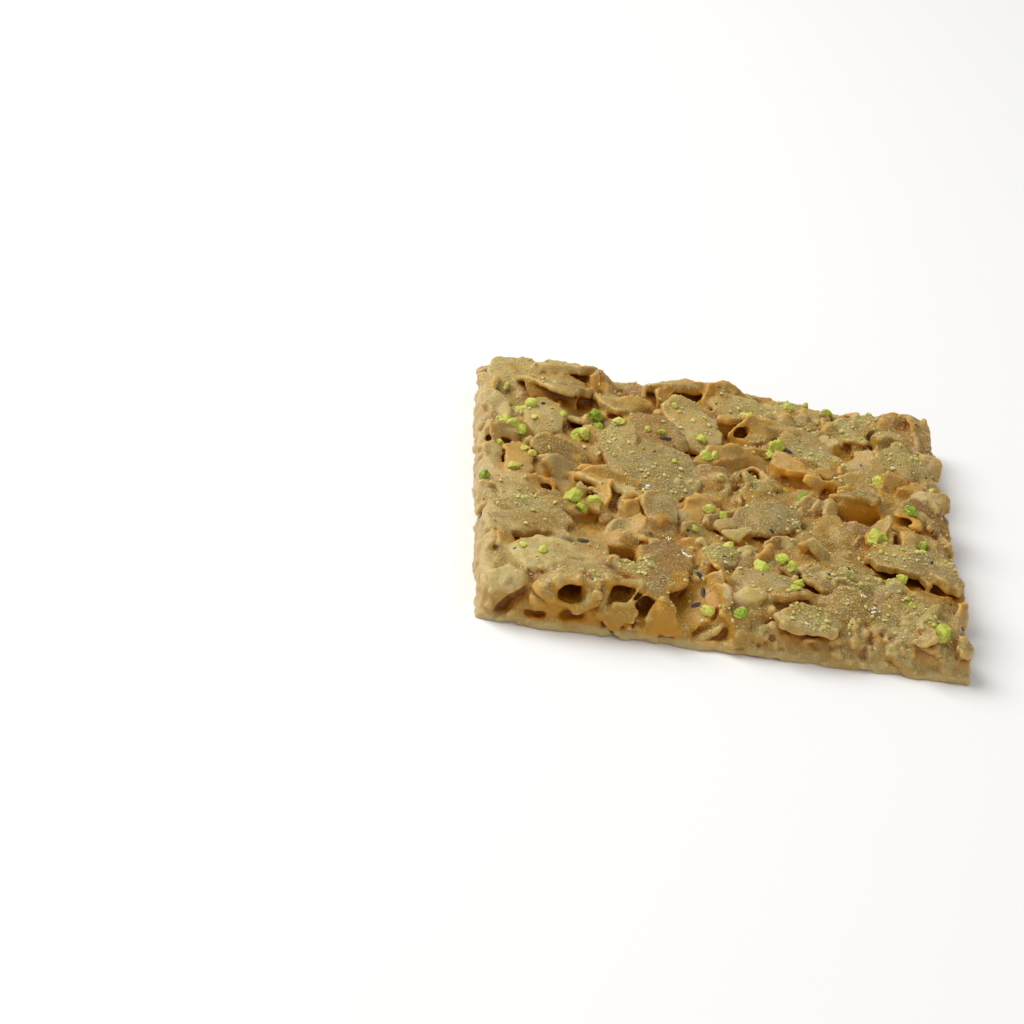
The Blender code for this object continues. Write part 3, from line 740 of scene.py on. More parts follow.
# x, y, reach in x and in y, and number of each cluster.
CLUSTERS = (
    (8.0, -37.2, 1.8, 0.6, 26), (13.5, -37.4, 2.4, 0.5, 34), (18.5, -36.8, 1.8, 0.8, 24),
    (23.0, -36.4, 2.0, 0.8, 20), (28.0, -35.0, 2.4, 1.2, 26), (32.0, -35.8, 2.0, 1.0, 22),
    (31.5, -31.0, 2.4, 1.8, 16), (35.8, -35.5, 0.8, 1.2, 10), (10.5, -22.5, 2.2, 1.8, 24),
    (26.0, -22.5, 2.0, 1.6, 16), (0.5, -16.5, 2.8, 1.0, 16), (21.0, 30.0, 3.0, 2.4, 22),
    (17.0, -23.5, 2.6, 1.6, 14), (-1.0, 1.5, 3.2, 1.4, 16), (-31.0, -37.2, 3.0, 0.5, 16),
    (-19.0, -37.6, 4.0, 0.4, 14), (-16.0, -27.8, 2.0, 1.0, 12), (-26.0, -33.6, 3.0, 1.0, 14),
)


def crumb_lumps():
    """Middles, half sizes and turns of the lumps, each half sunk in what lies below it."""
    draw = np.random.default_rng(SEED + 6)
    rows = []
    for x, y, wide, deep, count in CLUSTERS:
        for across, along in draw.normal(0, 1, (count, 2)).clip(-1.8, 1.8):
            place = np.array((x + wide * across, max(y + deep * along, -37.8)))
            i, j = ((place - grid_low[:2]) / STEP).astype(int)
            filled = np.flatnonzero(field[i, j] < 0)
            if len(filled) and axis_z[filled[-1]] > 0.8:
                half = draw.uniform(0.3, 0.85) * draw.uniform(0.6, 1.0, 3)
                rows.append(((*place, axis_z[filled[-1]]), half, *draw.uniform(0, 180, 2), CRUMB_POWER))
    return rows


lumps_of_crumb = crumb_lumps()
for shape in lumps_of_crumb:
    reach = max(shape[1]) + 1.2
    blend_in(shape[0], reach, lambda points: ellipsoid_distance(points, *shape), CRUMB_FILLET)
print("lumps of crumb:", len(lumps_of_crumb))

# %% The line of the back edge
# x and height of the highest things along the back edge; it rises towards the middle of the slab.
BACK_EDGE = (
    (-38, 7.6), (-34, 7.9), (-26, 8.8), (-19, 8.6), (-15, 6.4), (-11, 6.1), (-4.5, 7.9), (-0.5, 8.9),
    (2, 9.0), (4.3, 8.4), (8.3, 6.8), (14.5, 6.8), (18.5, 5.9), (21.6, 5.3), (25.5, 6.9), (33, 7.3),
    (38, 7.6),
)
BACK_RISE = 0.52
CUT_FILLET = 0.5
edge_x, edge_z = np.array(BACK_EDGE).T
roof = np.interp(plan_x, edge_x, edge_z) + BACK_RISE * np.clip(37 - plan_y, 0, 20)
field = smooth_carve(field, 0.88 * (roof[:, :, None] - height), CUT_FILLET)
print("back edge from", edge_z.min(), "to", edge_z.max(), "mm high")

# %% The sides are cut by the knife, and the base is flat from the tray
cut = np.maximum(np.abs(plan_x) - SIDE[0] / 2, np.abs(plan_y) - SIDE[1] / 2)
field = smooth_carve(field, -cut[:, :, None], CUT_FILLET)
field = np.maximum(field, -height).astype(np.float32)
print("inside the slab:", (field < 0).sum(), "points")

# %% [markdown]
# ## From field to mesh
#
# The surface is where the field is zero. "Surface nets" finds it: every grid cell that the surface
# passes through gets one point, at the mean of the places where it crosses the cell's edges, and
# every grid edge that crosses the surface joins the four cells round it with a face.

# %% Surface nets
def surface_nets(values, start, step):
    inside = values < 0
    span = np.array(values.shape) - 1
    corners = [np.array((i, j, k)) for i in (0, 1) for j in (0, 1) for k in (0, 1)]
    count = np.zeros(span, dtype=np.uint8)
    for c in corners:
        count += inside[c[0] : c[0] + span[0], c[1] : c[1] + span[1], c[2] : c[2] + span[2]]
    mixed = (count > 0) & (count < 8)
    number = np.full(span, -1)
    number[mixed] = np.arange(mixed.sum())
    cell = np.argwhere(mixed)
    total = np.zeros((len(cell), 3))
    hits = np.zeros(len(cell))
    for c in corners:
        for axis in np.flatnonzero(c == 0):
            d = c.copy()
            d[axis] = 1
            first = values[tuple((cell + c).T)]
            second = values[tuple((cell + d).T)]
            cross = (first < 0) != (second < 0)
            share = first[cross] / (first[cross] - second[cross])
            place = np.repeat(c[None, :].astype(float), cross.sum(), axis=0)
            place[:, axis] += share
            total[cross] += place
            hits[cross] += 1
    points = start + step * (cell + total / hits[:, None])
    quads = []
    for axis in range(3):
        u, w = np.eye(3, dtype=int)[(axis + 1) % 3], np.eye(3, dtype=int)[(axis + 2) % 3]
        first = np.take(inside, range(span[axis]), axis=axis)
        second = np.take(inside, range(1, span[axis] + 1), axis=axis)
        edge = np.argwhere(first != second)
        leaving = first[tuple(edge.T)]
        ring = [number[tuple((edge - s).T)] for s in (0 * u, u, u + w, w)]
        ring = np.stack(ring, axis=1)
        ring[~leaving] = ring[~leaving][:, ::-1]
        quads.append(ring)
    return points, np.concatenate(quads)


# %% Keep the largest part
def largest_part(points, quads):
    """The largest connected part: bits that hang free, and bubbles inside, are left out."""
    first, last = np.concatenate((quads[:, (0, 1)], quads[:, (1, 2)], quads[:, (2, 3)])).T
    label = np.arange(len(points))
    while True:
        least = np.minimum(label[first], label[last])
        new = label.copy()
        np.minimum.at(new, first, least)
        np.minimum.at(new, last, least)
        new = new[new]
        if (new == label).all():
            break
        label = new
    kept = label == np.bincount(label).argmax()
    print("parts left out:", len(np.unique(label)) - 1, "with points:", (~kept).sum())
    number = np.cumsum(kept) - 1
    return points[kept], number[quads[kept[quads[:, 0]]]]


points, quads = largest_part(*surface_nets(field, grid_low, STEP))
print("surface:", len(points), "points", len(quads), "faces")


# %% Mesh helpers
def mesh_object(name, points, faces):
    """A mesh object from points in millimetres."""
    mesh = bpy.data.meshes.new(name)
    mesh.from_pydata(np.asarray(points) * MM, [], faces)
    mesh.update()
    made = bpy.data.objects.new(name, mesh)
    bpy.context.scene.collection.objects.link(made)
    return made


def bake(target):
    """The object's modifiers become its mesh."""
    graph = bpy.context.evaluated_depsgraph_get()
    result = bpy.data.meshes.new_from_object(target.evaluated_get(graph))
    target.modifiers.clear()
    target.data = result


def read(mesh, kind):
    """The places ("co") or the normals of a mesh's vertices."""
    values = np.empty(3 * len(mesh.vertices), dtype=np.float32)
    source, name = (mesh.vertices, "co") if kind == "co" else (mesh.vertex_normals, "vector")
    source.foreach_get(name, values)
    return values.reshape(-1, 3)


slab = mesh_object("brittle_slab", points, quads)
normals = read(slab.data, "normal")
co = read(slab.data, "co") / MM
print("outward:", (normals[co[:, 2] < 0.05][:, 2].mean() < 0))

# %% Lumps and grain of the toffee
# How high and how wide each size of lump is: everywhere, low down, and along the cut edges.
LUMPS = ((0.24, 3.2), (0.16, 1.4), (0.09, 0.65))
LOW_LUMPS = ((0.16, 1.1), (0.12, 0.55))
EDGE_LUMPS = ((0.22, 1.2), (0.12, 0.6))


def bumps(sizes, seed):
    """Noise of several sizes, added up."""
    return sum(high * noise(co, wide, seed + k) for k, (high, wide) in enumerate(sizes))


def fade(values, start, width):
    """0 at a start, 1 a width beyond it and an even slope between; a width below 0 runs down."""
    return np.clip((values - start) / width, 0, 1)


at_x, at_y, at_z = co.T
low_down = fade(at_z, 2.6, -1.5)
at_edge = fade(np.maximum(np.abs(at_x), np.abs(at_y)), 35.0, 1)
at_edge[(at_y < -34) & (at_x < -2)] = 0
at_edge = np.maximum(at_edge, fade(at_y, -32, -2) * fade(at_x, 4, 6))
lumps = bumps(LUMPS, 1) + low_down * bumps(LOW_LUMPS, 4) + at_edge * bumps(EDGE_LUMPS, 6)
lumps *= fade(at_z, 0, 0.5)
co += normals * lumps[:, None]
co[:, 2] = np.maximum(co[:, 2], 0)
slab.data.vertices.foreach_set("co", (co * MM).ravel())
slab.data.update()

# %% Thin the mesh where it is even
MAX_TRIANGLES = 194000
thin = slab.modifiers.new("thin", "DECIMATE")
thin.ratio = min(1.0, MAX_TRIANGLES / (2 * len(quads)))
bake(slab)
slab.data.calc_loop_triangles()
print("slab triangles:", len(slab.data.loop_triangles))

# %% [markdown]
# ## What each place of the surface is
#
# The colour of brittle follows its make: bare almond is cream, toffee in the open is tan under a film
# of fine nut flour, and toffee that faces down or lies in a hollow is clean and amber. Each place gets
# these facts as attributes of the mesh.

# %% Read the thinned mesh
co = read(slab.data, "co").astype(float) / MM
normals = read(slab.data, "normal").astype(float)
at_x, at_y, at_z = co.T


def field_at(places):
    """The distance field between grid points."""
    place = np.clip((places - grid_low) / STEP, 0, np.array(field.shape) - 1.001)
    base = place.astype(int)
    total = np.zeros(len(places))
    for corner, weight in lattice(place - base):
        i, j, k = (base + corner).T
        total += weight * field[i, j, k]
    return total


# %% The look of each flake
# How bare the almond is, how amber, how green (+) or pink (-), and how much film is on it.
LOOKS = {
    "cream": (1.0, 0.0, 0.1, 0.6),
    "tan": (0.25, 0.1, 0.0, 0.9),
    "dusty": (0.25, 0.0, 0.3, 1.0),
    "green": (0.25, 0.0, 0.6, 1.0),
    "pale": (0.6, 0.0, 0.5, 1.0),
    "crumb": (0.6, 0.0, 0.7, 1.0),
    "pink": (0.0, 0.1, -0.7, 0.9),
    "skin": (0.0, 0.2, -1.4, 0.7),
    "toffee": (0.0, 0.3, -1.2, 0.7),
    "amber": (0.3, 1.0, 0.0, 0.5),
    "honey": (0.5, 0.5, 0.0, 0.5),
    "side": (0.7, 0.0, 0.0, 0.8),
}
TOFFEE_LOOK = (0.0, 0.4, 0.0, 0.8)
# How dark (+) or light (-) the broken flakes of some looks are; the others vary. This tone is partly
# the flakes' own colour and partly painted light and shade for how each tilted flake meets the light.
SHADES = {"toffee": 1.0, "pink": 0.4, "green": 0.6, "cream": -0.2}
BROKEN_LEAD = 0.25
CRUMB_NEAR = 0.2

nearest = np.full(len(co), 9.0)
looks = np.tile((0.0, 0.3, 0.0, 0.8), (len(co), 1))
shade = np.zeros(len(co))


def close_to(centre, reach):
    """The vertices in a box round a place."""
    return np.flatnonzero(np.abs(co - centre).max(axis=1) < reach)


def claim(close, distance, look, tone, lead=0.0):
    """Vertices that are nearer to this shape than to those before it take its looks."""
    better = distance < nearest[close] + lead
    chosen = close[better]
    nearest[chosen] = distance[better]
    looks[chosen] = LOOKS[look]
    shade[chosen] = tone


# Each flake gets a tone that later paints it darker or lighter: partly its own colour, partly painted light
# and shade.
for number, row in enumerate(flakes):
    close = close_to(row[:3], row[3] / 2 + 1.0)
    claim(close, flake_distance(row, number, co[close]), row[9], math.sin(12.9 * number))
for number, row in enumerate(BROKEN + WALL):
    close = close_to(*broken_span(row))
    tone = SHADES.get(row[0], math.sin(5.7 * number + 1))
    claim(close, broken_distance(row, number, co[close]), row[0], tone, BROKEN_LEAD)
for number, shape in enumerate(lumps_of_crumb):
    close = close_to(shape[0], max(shape[1]) + 0.5)
    chosen = close[ellipsoid_distance(co[close], *shape) < CRUMB_NEAR]
    nearest[chosen] = 0.0
    looks[chosen] = LOOKS["crumb"]
    shade[chosen] = math.sin(7.7 * number)
on_flake = 1 - fade(nearest, 0.1, 0.6)
looks = looks * on_flake[:, None] + np.array(TOFFEE_LOOK) * (1 - on_flake[:, None])
print("share of the surface that is flake:", round(on_flake.mean(), 2))

# %% How open each place lies
# Nut flour and light both come from above, so each vertex looks at the sky along a few directions.
SKY = [(0.0, 0.0, 1.0)]
LOOK_OUT = (0.5, 1.2, 2.2, 3.8)
STEEP_WAYS = 6
for rise_angle, count in ((62, 5), (28, 9)):
    for k in range(count):
        turn = 2 * math.pi * (k + 0.3) / count
        level = math.cos(math.radians(rise_angle))
        SKY.append((level * math.cos(turn), level * math.sin(turn), math.sin(math.radians(rise_angle))))
seen, faced, dust = np.zeros(len(co)), np.zeros(len(co)), np.zeros(len(co))
start = co + 0.35 * normals
for k, way in enumerate(np.array(SKY)):
    clear = np.ones(len(co), dtype=bool)
    for away in LOOK_OUT:
        clear &= field_at(start + away * way) > 0
    faces = normals @ way > 0.1
    seen += clear & faces
    faced += faces
    if k < STEEP_WAYS:
        dust += clear / STEEP_WAYS
# This share also paints shade into the toffee's colour where the slab is hollow.
hollow = 1 - seen / np.maximum(faced, 1)
hollow[faced == 0] = 0.8
print("directions:", len(SKY), "mean share of them shut off:", round(hollow.mean(), 2))

# %% Pale places
# Where the slab is pale: its lower lip, its left side, the front left corner and the front right. On the left
# side the paleness is partly flour and partly painted light from the window at the left; at the front left
# corner, where it grows on places that face the front, it is painted light.
lip = fade(at_z, 1.7, -0.5) * (0.75 + 0.2 * fade(at_x, 2, -12))
# Partly flour, partly painted light from the left.
floury_and_lit_left_side = 0.72 * fade(at_x, -35.6, -1.6)
# Painted light: places that face the front at the front left corner are paler.
corner = fade(at_x, -29, -6) * np.clip(-1.4 * normals[:, 1], 0, 0.5)
right_front = 0.3 * fade(at_x, 3, 6) * fade(at_y, -34.5, -1.5)
pale = np.max((lip, floury_and_lit_left_side, corner, right_front), axis=0)
print("pale, mean:", round(pale.mean(), 2))


# %% Rims, creases and hollows
def bend_of(mesh, points, normals, rounds=3):
    """How the surface bends at each vertex, in 1/mm: above 0 on rims, below 0 in creases."""
    ends = np.empty(2 * len(mesh.edges), dtype=np.int32)
    mesh.edges.foreach_get("vertices", ends)
    first, last = ends.reshape(-1, 2).T
    step = points[last] - points[first]
    bend = ((normals[last] - normals[first]) * step).sum(axis=1) / (step ** 2).sum(axis=1).clip(0.01)
    count = np.bincount(first, minlength=len(points)) + np.bincount(last, minlength=len(points))
    total = np.bincount(first, bend, len(points)) + np.bincount(last, bend, len(points))
    total /= count
    for _ in range(rounds):
        near = np.bincount(first, total[last], len(points)) + np.bincount(last, total[first], len(points))
        total = 0.5 * total + 0.5 * near / count
    return total


bend = bend_of(slab.data, co, normals)
broad = bend_of(slab.data, co, normals, 25)
for values in (bend, broad):
    print("bend:", np.round(np.percentile(values, (5, 25, 50, 75, 95)), 2))
carved = np.zeros(len(co))
for row, power in hollows:
    close = close_to(row[:3], max(row[3:6]) + 1.0)
    distance = ellipsoid_distance(co[close], np.array(row[:3]), np.array(row[3:6]), *row[6:], power)
    carved[close] = np.maximum(carved[close], fade(distance, 0.75, -0.4))
carved *= 1 - 0.8 * fade(looks[:, 0], 0.5, 0.5)

# %% Heaps of flour, and all facts as attributes
# Flour that was heaped on here and there: x, y and reach of each heap.
HEAPS = (
    (22.0, 28.0, 5.0), (27.5, -13.5, 4.5), (13.0, -35.5, 4.0), (-2.0, -22.0, 4.0), (17.0, 16.5, 4.5),
    (-17.0, 13.0, 3.5), (35.0, -12.0, 4.0), (30.5, -29.0, 5.0), (30.0, 20.0, 5.0), (6.0, 4.0, 3.5),
    (-30.0, -12.0, 4.0), (8.0, 31.0, 4.0), (-33.0, 26.0, 4.0), (20.0, -22.0, 4.0), (-14.0, -29.0, 2.5),
)
heap = np.zeros(len(co))
for x, y, reach in HEAPS:
    heap = np.maximum(heap, np.exp(-((at_x - x) ** 2 + (at_y - y) ** 2) / (0.6 * reach) ** 2))
facts = {
    "pale": pale,
    "bare": looks[:, 0],
    "amber": looks[:, 1],
    "tint": looks[:, 2],
    "film": looks[:, 3],
    # Each flake's tone, partly painted light and shade for how its tilt meets the light; and darker towards
    # the front right.
    "shade": shade * on_flake + 0.7 * fade(at_x - at_y, 15, 30),
    "hollow": hollow,
    "dust": dust,
    "facing_up": normals[:, 2],
    "rim": fade(bend, 0.35, 0.8),
    "carved": carved,
    "heap": heap,
    "crease": np.maximum(fade(bend, -0.2, -0.7), fade(broad, -0.12, -0.4)),
}


def set_fact(mesh, name, values, kind="FLOAT"):
    """Gives each vertex of a mesh its own value under a name."""
    layer = mesh.attributes.new(name, kind, "POINT")
    values = np.asarray(values, dtype=np.int32 if kind == "INT" else np.float32)
    layer.data.foreach_set("vector" if kind == "FLOAT_VECTOR" else "value", values.ravel())


for name, values in facts.items():
    set_fact(slab.data, name, values)
    print(f"{name}: {values.min():.2f} to {values.max():.2f}, mean {values.mean():.2f}")
slab.data.polygons.foreach_set("use_smooth", np.ones(len(slab.data.polygons), dtype=bool))


# %% [markdown]
# ## Material of toffee and almond
#
# Each layer of colour has a share: the product of a few facts of the mesh and fine noise, each eased
# from one value to another. Flour lies where the slab is open to the sky, clean toffee elsewhere.

# %% Node helpers
def linear(hex_colour):
    """sRGB hex to linear."""
    parts = [int(hex_colour[i : i + 2], 16) / 255 for i in (1, 3, 5)]
    return [c / 12.92 if c <= 0.04045 else ((c + 0.055) / 1.055) ** 2.4 for c in parts] + [1.0]


def wire(tree, node, inputs):
    """Sets a node's inputs, each to a value or to another node's socket."""
    for key, value in inputs.items():
        if isinstance(value, bpy.types.NodeSocket):
            tree.links.new(value, node.inputs[key])
        else:
            node.inputs[key].default_value = value


def add(tree, kind, settings, inputs, output=0):
    """Adds a node with its settings and inputs, and gives one of its outputs."""
    node = tree.nodes.new(kind)
    for key, value in settings.items():
        setattr(node, key, value)
    wire(tree, node, inputs)
    return node.outputs[output]


def new_material(name):
    """A material, its tree and its shader."""
    made = bpy.data.materials.new(name)
    made.use_nodes = True
    return made, made.node_tree, made.node_tree.nodes["Principled BSDF"]


def sources(tree, names, grains):
    """Sockets by name: facts of the mesh, and noise with a size in millimetres and a detail."""
    found = {
        name: add(tree, "ShaderNodeAttribute", {"attribute_name": name}, {}, "Fac") for name in names
    }
    place = add(tree, "ShaderNodeTexCoord", {}, {}, "Object")
    for name, (size, detail) in grains.items():
        inputs = {"Vector": place, "Scale": 1 / (size * MM), "Detail": detail, "Roughness": 0.55}
        found[name] = add(tree, "ShaderNodeTexNoise", {}, inputs, "Fac")
    return found


# %% Layers of colour
ENDS = ("From Min", "From Max", "To Min", "To Max")


def share(tree, found, steps):
    """The product of steps: a number, a socket as it is, or one eased from two values to two others."""
    total = None
    for name, *ends in steps:
        step = found.get(name, name)
        if ends:
            inputs = {"Value": step, **dict(zip(ENDS, ends))}
            step = add(tree, "ShaderNodeMapRange", {"interpolation_type": "SMOOTHSTEP"}, inputs)
        if total is not None:
            step = add(tree, "ShaderNodeMath", {"operation": "MULTIPLY"}, {0: total, 1: step})
        total = step
    return total


def paint(tree, found, colour, layers):
    """A colour with others laid over it, each by its own share."""
    for over, *steps in layers:
        below, above = (c if isinstance(c, bpy.types.NodeSocket) else linear(c) for c in (colour, over))
        inputs = {0: share(tree, found, steps), 6: below, 7: above}
        colour = add(tree, "ShaderNodeMix", {"data_type": "RGBA"}, inputs, 2)
    return colour


# %% Toffee over flaked almond
# Cooked sugar sets to a clear brown glass, satin where bare. Where it is shut off from the sky it is painted
# darker and redder, as painted shade. A film of nut flour makes it dull and tan. Almond under it is cream,
# and light spreads a little in all.
TOFFEE_GRAINS = {
    "coarse": (4.0, 3.0), "fine": (0.9, 3.0), "speck": (0.28, 2.0), "patch": (5.0, 3.0), "streak": (7.5, 4.0)
}
CLEAN_WITH_PAINTED_SHADE = (
    ("#c28720", ("amber",)),
    # Painted shade: the toffee is painted darker and redder the more a place is shut off from the sky.
    ("#b0760f", ("hollow", 0.05, 0.4)),
    ("#833a02", ("hollow", 0.4, 0.9)),
)
COATED = (
    ("#aa894e", ("coarse", 0.35, 0.65)),
    ("#877d54", ("tint", 0.0, 1.0)),
    ("#855c3a", ("tint", 0.0, -1.4)),
)
STAINS_AND_PAINTED_SHADING = (
    ("#aea078", ("patch", 0.5, 0.68, 0.0, 0.6)),
    ("#8e7145", ("streak", 0.5, 0.7, 0.0, 0.55)),
    # Painted light and shade, partly the flakes' own tone: a flake darker or lighter by its shade.
    ("#75521f", ("shade", 0.0, 1.0, 0.0, 0.5)),
    ("#c6aa68", ("shade", 0.0, -1.0, 0.0, 0.4)),
)
OPEN = (
    ("facing_up", -0.1, 0.5),
    ("dust", 0.25, 0.85),
    ("hollow", 0.3, 0.65, 1.0, 0.15),
    ("carved", 0.1, 0.9, 1.0, 0.1),
    ("crease", 0.0, 0.6, 1.0, 0.3),
    ("amber", 0.0, 1.0, 1.0, 0.6),
    ("fine", 0.2, 0.45, 0.7, 1.0),
    ("patch", 0.35, 0.55, 0.75, 1.0),
)
# Painted highlight and glow on convex rims, where light catches them and shines through thin toffee; partly
# dust on the rims too.
PAINTED_RIM_HIGHLIGHTS = ("rim", 0.0, 0.8, 0.0, 0.7), ("fine", 0.3, 0.6, 0.4, 1.0)
DUSTED = (
    ("speck", 0.52, 0.66), ("film",), ("dust", 0.3, 0.9, 0.0, 0.8), ("facing_up", -0.2, 0.5, 0.2, 1.0)
)
PAINTED_SHADE_PALE_AND_FLOUR = (
    # Painted shade: creases are painted dark brown.
    ("#7c4206", ("crease", 0.0, 0.8, 0.0, 0.9)),
    # Pale lip and sides; partly painted light on the left side, and painted light at the front left corner.
    ("#bba673", ("pale",), ("coarse", 0.3, 0.55, 0.55, 1.0), ("hollow", 0.3, 0.8, 1.0, 0.2)),
    ("#b9a968", ("heap",), ("fine", 0.35, 0.6, 0.15, 0.8), ("open",)),
    ("#cdbb78", *DUSTED),
)


def toffee_material():
    made, tree, shader = new_material("cooked_toffee_over_flaked_almond")
    found = sources(tree, facts, TOFFEE_GRAINS)
    found["open"] = share(tree, found, OPEN)
    clean = paint(tree, found, "#a97e2e", CLEAN_WITH_PAINTED_SHADE)
    almond = paint(tree, found, "#b8a462", [("#d2c07e", ("fine", 0.3, 0.7))])
    coated = paint(tree, found, "#88662c", COATED)
    coated = paint(tree, found, coated, [(almond, ("bare",), (0.8,)), *STAINS_AND_PAINTED_SHADING])
    # Golden colour of the rims, for the painted highlight.
    edge = paint(tree, found, "#cdac66", [("#d5a550", ("amber",))])
    colour = paint(tree, found, clean, [(coated, ("open",)), (edge, *PAINTED_RIM_HIGHLIGHTS), *PAINTED_SHADE_PALE_AND_FLOUR])
    speck = share(tree, found, [("speck",), (0.7,)])
    height = add(tree, "ShaderNodeMath", {"operation": "ADD"}, {0: found["fine"], 1: speck})
    bumps = {"Strength": 0.35, "Distance": 0.25 * MM, "Height": height}
    wire(tree, shader, {
        "Base Color": colour,
        "Roughness": share(tree, found, [("fine", 0.3, 0.7, 0.3, 0.5)]),
        "IOR": 1.48,
        "Specular IOR Level": 0.35,
        "Specular Tint": (1.0, 0.82, 0.5, 1.0),
        "Coat Weight": 0.06,
        "Coat Roughness": 0.2,
        "Subsurface Weight": 0.5,
        "Subsurface Radius": (1.0, 0.55, 0.12),
        "Subsurface Scale": 1.2 * MM,
        "Normal": add(tree, "ShaderNodeBump", {}, bumps),
    })
    return made


slab.data.materials.clear()
slab.data.materials.append(toffee_material())
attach(slab, "root")
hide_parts("brittle")

# %% [markdown]
# ## Pistachio, almond skin, nut flour and sugar
#
# Chopped pistachio was strewn on the toffee while it was soft. The larger nibs are set one by one;
# finer crumbs, the yellowish flour that comes with them, flecks of brown skin and a few clear drops
# of sugar, which also stand in for glints as painted highlights, are strewn by Geometry Nodes, which
# put a copy of a small shape on every chosen point.

# %% Shapes to strew
def shape_object(shape, name):
    """An object, not in the scene, that holds a bmesh."""
    mesh = bpy.data.meshes.new(name)
    shape.to_mesh(mesh)
    shape.free()
    return bpy.data.objects.new(name, mesh)


def chip(name, seed, squash, ragged):
    """A small broken bit, one unit across: a coarse ball knocked out of round."""
    shape = bmesh.new()
    bmesh.ops.create_icosphere(shape, subdivisions=1, radius=0.5)
    draw = np.random.default_rng(seed)
    for vert in shape.verts:
        vert.co *= draw.uniform(1 - ragged, 1 + ragged)
        vert.co = Vector(a * b for a, b in zip(vert.co, squash))
    return shape_object(shape, name)


def chopped_nib(name, seed):
    """A chopped nib, one unit across: a ball cut flat by a knife on many sides, with a crumbly face."""
    draw = np.random.default_rng(seed)
    shape = bmesh.new()
    bmesh.ops.create_icosphere(shape, subdivisions=3, radius=0.56)
    cuts = [(Vector(draw.normal(0, 1, 3)).normalized(), draw.uniform(0.3, 0.48)) for _ in range(8)]
    for vert in shape.verts:
        for way, kept in cuts:
            over = vert.co.dot(way) - kept
            if over > 0:
                vert.co -= over * way
        vert.co *= draw.uniform(0.9, 1.1)
    return shape_object(shape, name)


def grit(name, seed):
    """A grain of flour: eight faces, one unit across."""
    shape = bmesh.new()
    bmesh.ops.create_uvsphere(shape, u_segments=4, v_segments=2, radius=0.5)
    draw = np.random.default_rng(seed)
    for vert in shape.verts:
        vert.co *= draw.uniform(0.7, 1.3)
    return shape_object(shape, name)


def collect(name, count, seed, make, *how):
    """A collection of shapes that differ by their seeds."""
    made = bpy.data.collections.new(name + "_shapes")
    for k in range(count):
        made.objects.link(make(f"{name}_{k}", seed + k, *how))
    return made


# %% The strewing tree
def strew_tree(name):
    """Points of the input mesh each get one shape, turned and sized by the points' own facts."""
    tree = bpy.data.node_groups.new(name, "GeometryNodeTree")
    for key, kind in (("Geometry", "Geometry"), ("Shapes", "Collection"), ("Material", "Material")):
        tree.interface.new_socket(key, in_out="INPUT", socket_type="NodeSocket" + kind)
    tree.interface.new_socket("Geometry", in_out="OUTPUT", socket_type="NodeSocketGeometry")
    given = tree.nodes.new("NodeGroupInput").outputs
    turn, size, kind = (
        add(tree, "GeometryNodeInputNamedAttribute", {"data_type": kind}, {"Name": key}, "Attribute")
        for key, kind in (("turn", "FLOAT_VECTOR"), ("size", "FLOAT_VECTOR"), ("kind", "INT"))
    )
    inputs = {"Collection": given["Shapes"], "Separate Children": True, "Reset Children": True}
    shapes = add(tree, "GeometryNodeCollectionInfo", {}, inputs)
    inputs = {"Points": given["Geometry"], "Instance": shapes, "Pick Instance": True}
    inputs.update({"Instance Index": kind, "Rotation": turn, "Scale": size})
    placed = add(tree, "GeometryNodeInstanceOnPoints", {}, inputs)
    real = add(tree, "GeometryNodeRealizeInstances", {}, {"Geometry": placed})
    inputs = {"Geometry": real, "Material": given["Material"]}
    painted = add(tree, "GeometryNodeSetMaterial", {}, inputs)
    wire(tree, tree.nodes.new("NodeGroupOutput"), {"Geometry": painted})
    return tree


STREW = strew_tree("strew_bits")

# %% Resting places on the slab
tree_of_slab = BVHTree.FromPolygons(
    [tuple(v) for v in co], [tuple(p.vertices) for p in slab.data.polygons]
)


def lay(normal, spin):
    """Rotation that lays a shape's flat side on a normal, spun about it."""
    turn = normal.to_track_quat("Z", "X") @ Matrix.Rotation(spin, 3, "Z").to_quaternion()
    return tuple(turn.to_euler())


# %% Dropping bits on the slab
def strew(name, rows, sink, seed, shapes, material, kind_draw, flat=1.0):
    """One mesh of bits at rows of x, y, width and tone, dropped on the slab and sunk a little in it."""
    draw = np.random.default_rng(seed)
    places, turns, sizes, tones = [], [], [], []
    for x, y, width, tone in rows:
        place, normal, _, _ = tree_of_slab.ray_cast(Vector((x, y, 30)), Vector((0, 0, -1)))
        if place is None:
            continue
        places.append(place + normal * width * (0.32 - sink))
        turns.append(lay(normal, draw.uniform(0, 6.28)))
        sizes.append(width * draw.uniform(0.75, 1.2, 3) * (1, 1, flat))
        tones.append(tone)
    made = mesh_object(name, places, [])
    set_fact(made.data, "turn", turns, "FLOAT_VECTOR")
    set_fact(made.data, "size", np.asarray(sizes) * MM, "FLOAT_VECTOR")
    set_fact(made.data, "kind", kind_draw.integers(0, len(shapes.objects), len(places)), "INT")
    set_fact(made.data, "tone", tones)
    nodes = made.modifiers.new("strew", "NODES")
    nodes.node_group = STREW
    sockets = {item.name: item.identifier for item in STREW.interface.items_tree if item.in_out == "INPUT"}
    nodes[sockets["Shapes"]] = shapes
    nodes[sockets["Material"]] = material
    bake(made)
    made.data.calc_loop_triangles()
    print(name, len(places), "bits,", len(made.data.loop_triangles), "triangles")
    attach(made, "root")


